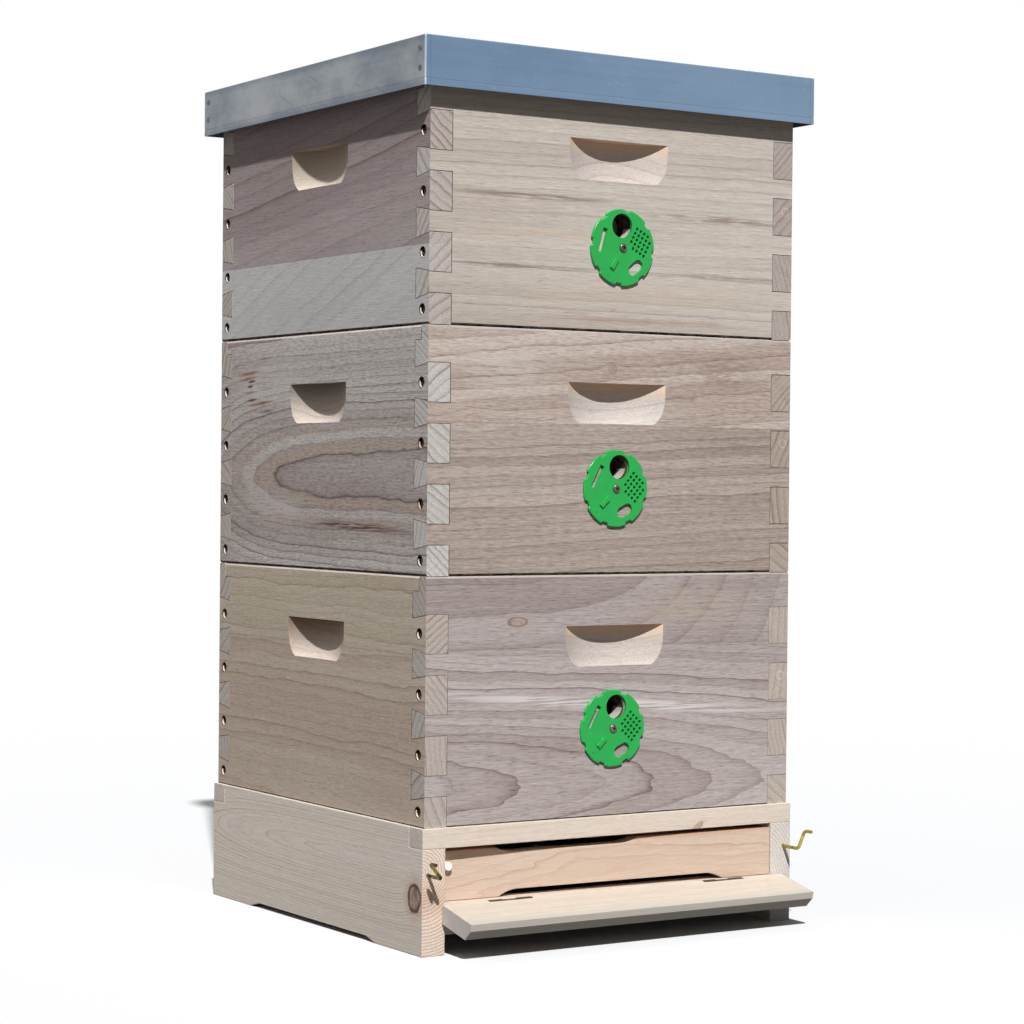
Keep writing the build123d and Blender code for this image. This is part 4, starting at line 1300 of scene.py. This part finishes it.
def make_floor(dark_reflection_wire, wire, white):
    """Floor timbers, landing board, reducer, hooks and peg."""
    make_rails()
    make_landing_board()
    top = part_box("entrance_reducer")[1].z
    flame = Figure(-0.08, 0.03, 0.045, plunge=-0.05, bow=0.3, ring=7 * MM)
    # The top few millimetres of the reducer are painted warm brown: painted shade under the front rail, warm with
    # bounced light.
    bar = spruce("reducer_spruce", "entrance_reducer", 0, flame, tones=PEACH, seed=15.0, lines=0.85,
                 fibres=0.2, fuzz=0.1, streaks=0.03, waver=15 * MM,
                 fade=(2, top - 5 * MM, top + 2 * MM, rgb(190, 132, 88)))
    make_reducer(bar)
    # The left hook's wire is painted dark, as a painted dark reflection.
    make_hook("left_hook", -40, dark_reflection_wire)
    make_hook("right_hook", 25, wire)
    make_peg(white)


def make_peg(white):
    """The short peg on the reducer's face."""
    low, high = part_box("reducer_peg")
    middle = (low + high) / 2
    inset, length = 7 * MM, 6 * MM
    bm = bmesh.new()
    add_rod(bm, (inset - REDUCER_HALF, middle.z), (high.z - low.z) / 2, -length, 0, sides=40)
    ease_edges(bm, 0.8 * MM, 3)
    place_on_reducer(bm)
    node = "reducer_peg"
    finish_piece(bm, "reducer_peg_pin", "entrance_reducer", white, node_slot(node), [node])


# Roof and inside


def make_roof(zinc):
    """The folded roof sheet with a soft fold along its top edges and a crease above its hem."""
    low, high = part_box("roof_sheet")
    fold, sheet = 1.6 * MM, 0.8 * MM
    crease, dent = 6.6 * MM, 0.5 * MM
    bm = bmesh.new()
    add_box(bm, low, high)
    under = [f for f in bm.faces if f.normal.z < -0.5]
    bmesh.ops.delete(bm, geom=under, context="FACES")
    bevelled(bm, [e for e in bm.edges if len(e.link_faces) == 2], fold, 4)
    for height in (crease + 0.8 * MM, crease, crease - 0.6 * MM):
        bmesh.ops.bisect_plane(bm, geom=bm.verts[:] + bm.edges[:] + bm.faces[:], dist=0.01 * MM,
                               plane_co=(0, 0, low.z + height), plane_no=(0, 0, 1))
    for vert in bm.verts:
        if abs(vert.co.z - low.z - crease) < 0.05 * MM:
            vert.co.x *= 1 - dent / high.x
            vert.co.y *= 1 - dent / high.y
    bmesh.ops.solidify(bm, geom=bm.faces[:], thickness=sheet)
    bmesh.ops.recalc_face_normals(bm, faces=bm.faces)
    finish_piece(bm, "roof_cap", "roof", zinc, node_slot("roof_sheet"), ["roof_sheet"], angle=50)


def make_roof_nails(nail):
    """Dimpled nail heads near the corners of the roof's left and right sides."""
    low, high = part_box("roof_nails")
    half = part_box("roof_sheet")[1].x
    radius = 3 * MM
    spots = []
    for side, turn in ((1, 90), (-1, 270)):
        for y in (low.y + radius, high.y - radius):
            for z in (low.z + radius, high.z - radius):
                place = Matrix.Translation((side * half, y, z))
                spots.append(place @ Matrix.Rotation(radians(turn), 4, "Z"))
    head = bmesh.new()
    add_turned(head, [(0, -0.3 * MM), (radius, -0.3 * MM), (radius, 0.3 * MM), (2.4 * MM, 0.75 * MM),
                      (1.2 * MM, 0.7 * MM), (0.7 * MM, 0.45 * MM), (0, 0.4 * MM)], (0, 0, 0), steps=24)
    bmesh.ops.rotate(head, verts=head.verts, cent=(0, 0, 0), matrix=Matrix.Rotation(pi / 2, 3, "X"))
    bmesh.ops.recalc_face_normals(head, faces=head.faces)
    node = "roof_nails"
    finish_piece(copies(head, spots), "roof_nail_heads", "roof", nail, node_slot(node), [node])


def make_inside():
    """Frames, foundation, covers, tray, mesh and hinges, which show when the hive is opened."""
    pine = dict(figure=Figure(0.02, 0.3, 0.03, lean=0.02, ring=3.2 * MM), lines=0.4, streaks=0.06, pores=0.15,
                tones=(rgb(226, 202, 164), rgb(212, 182, 138), rgb(176, 136, 90)),
                end_tone=rgb(214, 188, 150))
    lying = timber("frame_pine_lying", Board((1, 2, (0, 1, 0.0)), seed=40.0, **pine))
    upright = timber("frame_pine_upright", Board((2, 1, (0, 1, 0.0)), seed=41.0, **pine))
    wax = wax_sheet()
    for box in BOXES:
        for node, wood in (("top_bars", lying), ("bottom_bars", lying), ("end_bars", upright)):
            eased_node(f"{box}_{node}", f"{box}_frames", wood, segments=1)
        frame["nodes"][f"{box}_foundation"].material_slots[0].material = wax
    veneer = Figure(0, 0.05, 0.03, lean=0.02, plunge=0.03, ring=5 * MM)
    ply_tones = (rgb(224, 200, 162), rgb(208, 180, 138), rgb(176, 140, 98))
    ply_level = 0.86
    ply = timber("cover_ply", Board((0, 1, (2, 1, ply_level)), veneer, ply_tones, seed=51.0, lines=0.35))
    for node, body in (("cover_rim", "inner_cover"), ("cover_panel", "inner_cover"), ("roof_deck", "roof"),
                       ("roof_rails", "roof")):
        eased_node(node, body, ply)
    sheet = plain_material("tray_white", (rgb(226, 226, 222), rgb(240, 240, 237)), 0.42, spread=0.6)
    eased_node("inspection_tray", "inspection_tray", sheet, 0.3 * MM)
    frame["nodes"]["floor_mesh"].material_slots[0].material = wire_cloth()
    # The hinge metal is painted dark: painted shade of the knuckle slots.
    plated = plain_material("hinge_zinc", (rgb(64, 58, 50), rgb(126, 116, 102)), 0.38, metallic=0.9,
                            grain=120)
    for node in ("hinge_fixed_leaves", "hinge_moving_leaves", "hinge_pins"):
        frame["nodes"][node].material_slots[0].material = plated


# Camera, light and ground


def make_camera():
    """The photograph's viewpoint: place, heading, pitch, roll and focal length."""
    eye = (-1.5328, -2.4146, 0.4601)
    yaw, pitch, roll = radians(32.71), radians(-0.65), radians(0.54)
    ahead = Vector((sin(yaw) * cos(pitch), cos(yaw) * cos(pitch), sin(pitch)))
    right = Vector((cos(yaw), -sin(yaw), 0))
    above = right.cross(ahead)
    across = right * cos(roll) + above * sin(roll)
    upward = above * cos(roll) - right * sin(roll)
    camera = bpy.data.objects.new("camera", bpy.data.cameras.new("camera"))
    camera.data.sensor_width = 36
    camera.data.lens = 93.0
    camera.data.clip_end = 200
    turn = Matrix((across, upward, -ahead)).transposed().to_4x4()
    camera.matrix_world = Matrix.Translation(eye) @ turn
    bpy.context.scene.collection.objects.link(camera)
    bpy.context.scene.camera = camera


def seen_rays(start):
    """1 for the rays that show the background: straight from the camera, or by way of metal or glass."""
    kinds = [start.node("ShaderNodeLightPath", output=kind)
             for kind in ("Is Camera Ray", "Is Glossy Ray", "Is Transmission Ray")]
    return (kinds[0] + kinds[1] + kinds[2]).between(0.0, 1.0)


def make_light():
    """A soft key lamp from the front left, high up, and a pale room round it."""
    lamp = bpy.data.objects.new("key", bpy.data.lights.new("key", "SUN"))
    lamp.data.energy = 4.3
    lamp.data.angle = radians(1.5)
    lamp.data.color = (0.985, 0.99, 1.0)
    towards = Vector((-0.417, -0.87, 1.0))
    lamp.rotation_euler = towards.to_track_quat("Z", "Y").to_euler()
    bpy.context.scene.collection.objects.link(lamp)
    world = bpy.data.worlds.new("room")
    world.use_nodes = True
    bpy.context.scene.world = world
    start = Socket(world.node_tree)
    direction = start.node("ShaderNodeTexCoord", output="Generated")
    leftward = start.node("ShaderNodeVectorMath", {0: direction, 1: (-1, 0, 0)}, output="Value",
                          operation="DOT_PRODUCT")
    sky = leftward.between(-0.2, 0.9).colour((0.9, 0.95, 1.0), (1.8, 1.75, 1.7))
    light = start.node("ShaderNodeBackground", {"Color": sky, "Strength": 0.12})
    white = start.node("ShaderNodeBackground", {"Color": (1, 1, 1, 1), "Strength": 1.0})
    shown = start.node("ShaderNodeMixShader", {0: seen_rays(start), 1: light, 2: white})
    world.node_tree.links.new(shown.link, world.node_tree.nodes["World Output"].inputs["Surface"])


def make_ground():
    """A plain pale floor that keeps the shadow and runs out to white."""
    bm = bmesh.new()
    bmesh.ops.create_grid(bm, x_segments=1, y_segments=1, size=30)
    mesh = bpy.data.meshes.new("ground")
    bm.to_mesh(mesh)
    bm.free()
    ground = bpy.data.objects.new("ground", mesh)
    bpy.context.scene.collection.objects.link(ground)
    material = bpy.data.materials.new("pale_ground")
    material.use_nodes = True
    start = Socket(material.node_tree)
    place = start.node("ShaderNodeTexCoord", output="Object")
    far = start.node("ShaderNodeVectorMath", {0: place}, output="Value", operation="LENGTH")
    seen = seen_rays(start)
    colour = seen.colour((0.14, 0.14, 0.14), (0.88, 0.88, 0.88))
    matt = start.node("ShaderNodeBsdfDiffuse", {"Color": colour})
    white = start.node("ShaderNodeEmission", {"Color": (1, 1, 1, 1), "Strength": 1.0})
    shown = start.node("ShaderNodeMixShader", {0: far.between(0.5, 2.4) * seen, 1: matt, 2: white})
    material.node_tree.links.new(shown.link, material.node_tree.nodes["Material Output"].inputs["Surface"])
    mesh.materials.append(material)


make_camera()
make_light()
make_ground()
make_boxes()

# The corner screws' zinc is painted darker than the hooks': painted shade of the deep holes they sit in.
screw_zinc = plain_material("yellow_zinc", (rgb(58, 48, 20), rgb(136, 118, 58)), 0.3, metallic=0.8,
                            grain=180)
hook_zinc = plain_material("hook_zinc", (rgb(112, 98, 36), rgb(206, 192, 96)), 0.24, metallic=0.85,
                           grain=180)
# A darker copy of the hooks' zinc for the left hook: painted dark reflection.
zinc_dark_reflection = plain_material("zinc_dark_reflection", (rgb(16, 17, 9), rgb(138, 128, 60)), 0.2, metallic=0.85, grain=140,
                           spread=1.5)
# Painted shade for the cross recesses of the screw heads.
screw_recess = plain_material("screw_recess", (rgb(28, 22, 16), rgb(52, 42, 30)), 0.6, metallic=0.5)
screw_steel = plain_material("screw_steel", (rgb(78, 64, 54), rgb(140, 124, 110)), 0.3, metallic=0.9,
                             grain=160)
green_plastic = plain_material("green_plastic", (rgb(20, 162, 68), rgb(28, 174, 78)), 0.25, grain=60,
                               bump=0.00002, gloss=0.4)
white_plastic = plain_material("white_plastic", (rgb(232, 232, 230), rgb(246, 246, 244)), 0.35)
# The nail heads are painted dark: painted shade round their dimples.
nail_zinc = plain_material("nail_zinc", (rgb(30, 34, 38), rgb(116, 124, 132)), 0.35, metallic=0.85,
                           grain=220)
make_corner_screws(screw_zinc, screw_recess)
make_discs(green_plastic, screw_steel, screw_recess)
make_floor(zinc_dark_reflection, hook_zinc, white_plastic)
make_roof(zinc_sheet())
make_roof_nails(nail_zinc)
make_inside()

bpy.context.scene.view_settings.view_transform = "Standard"
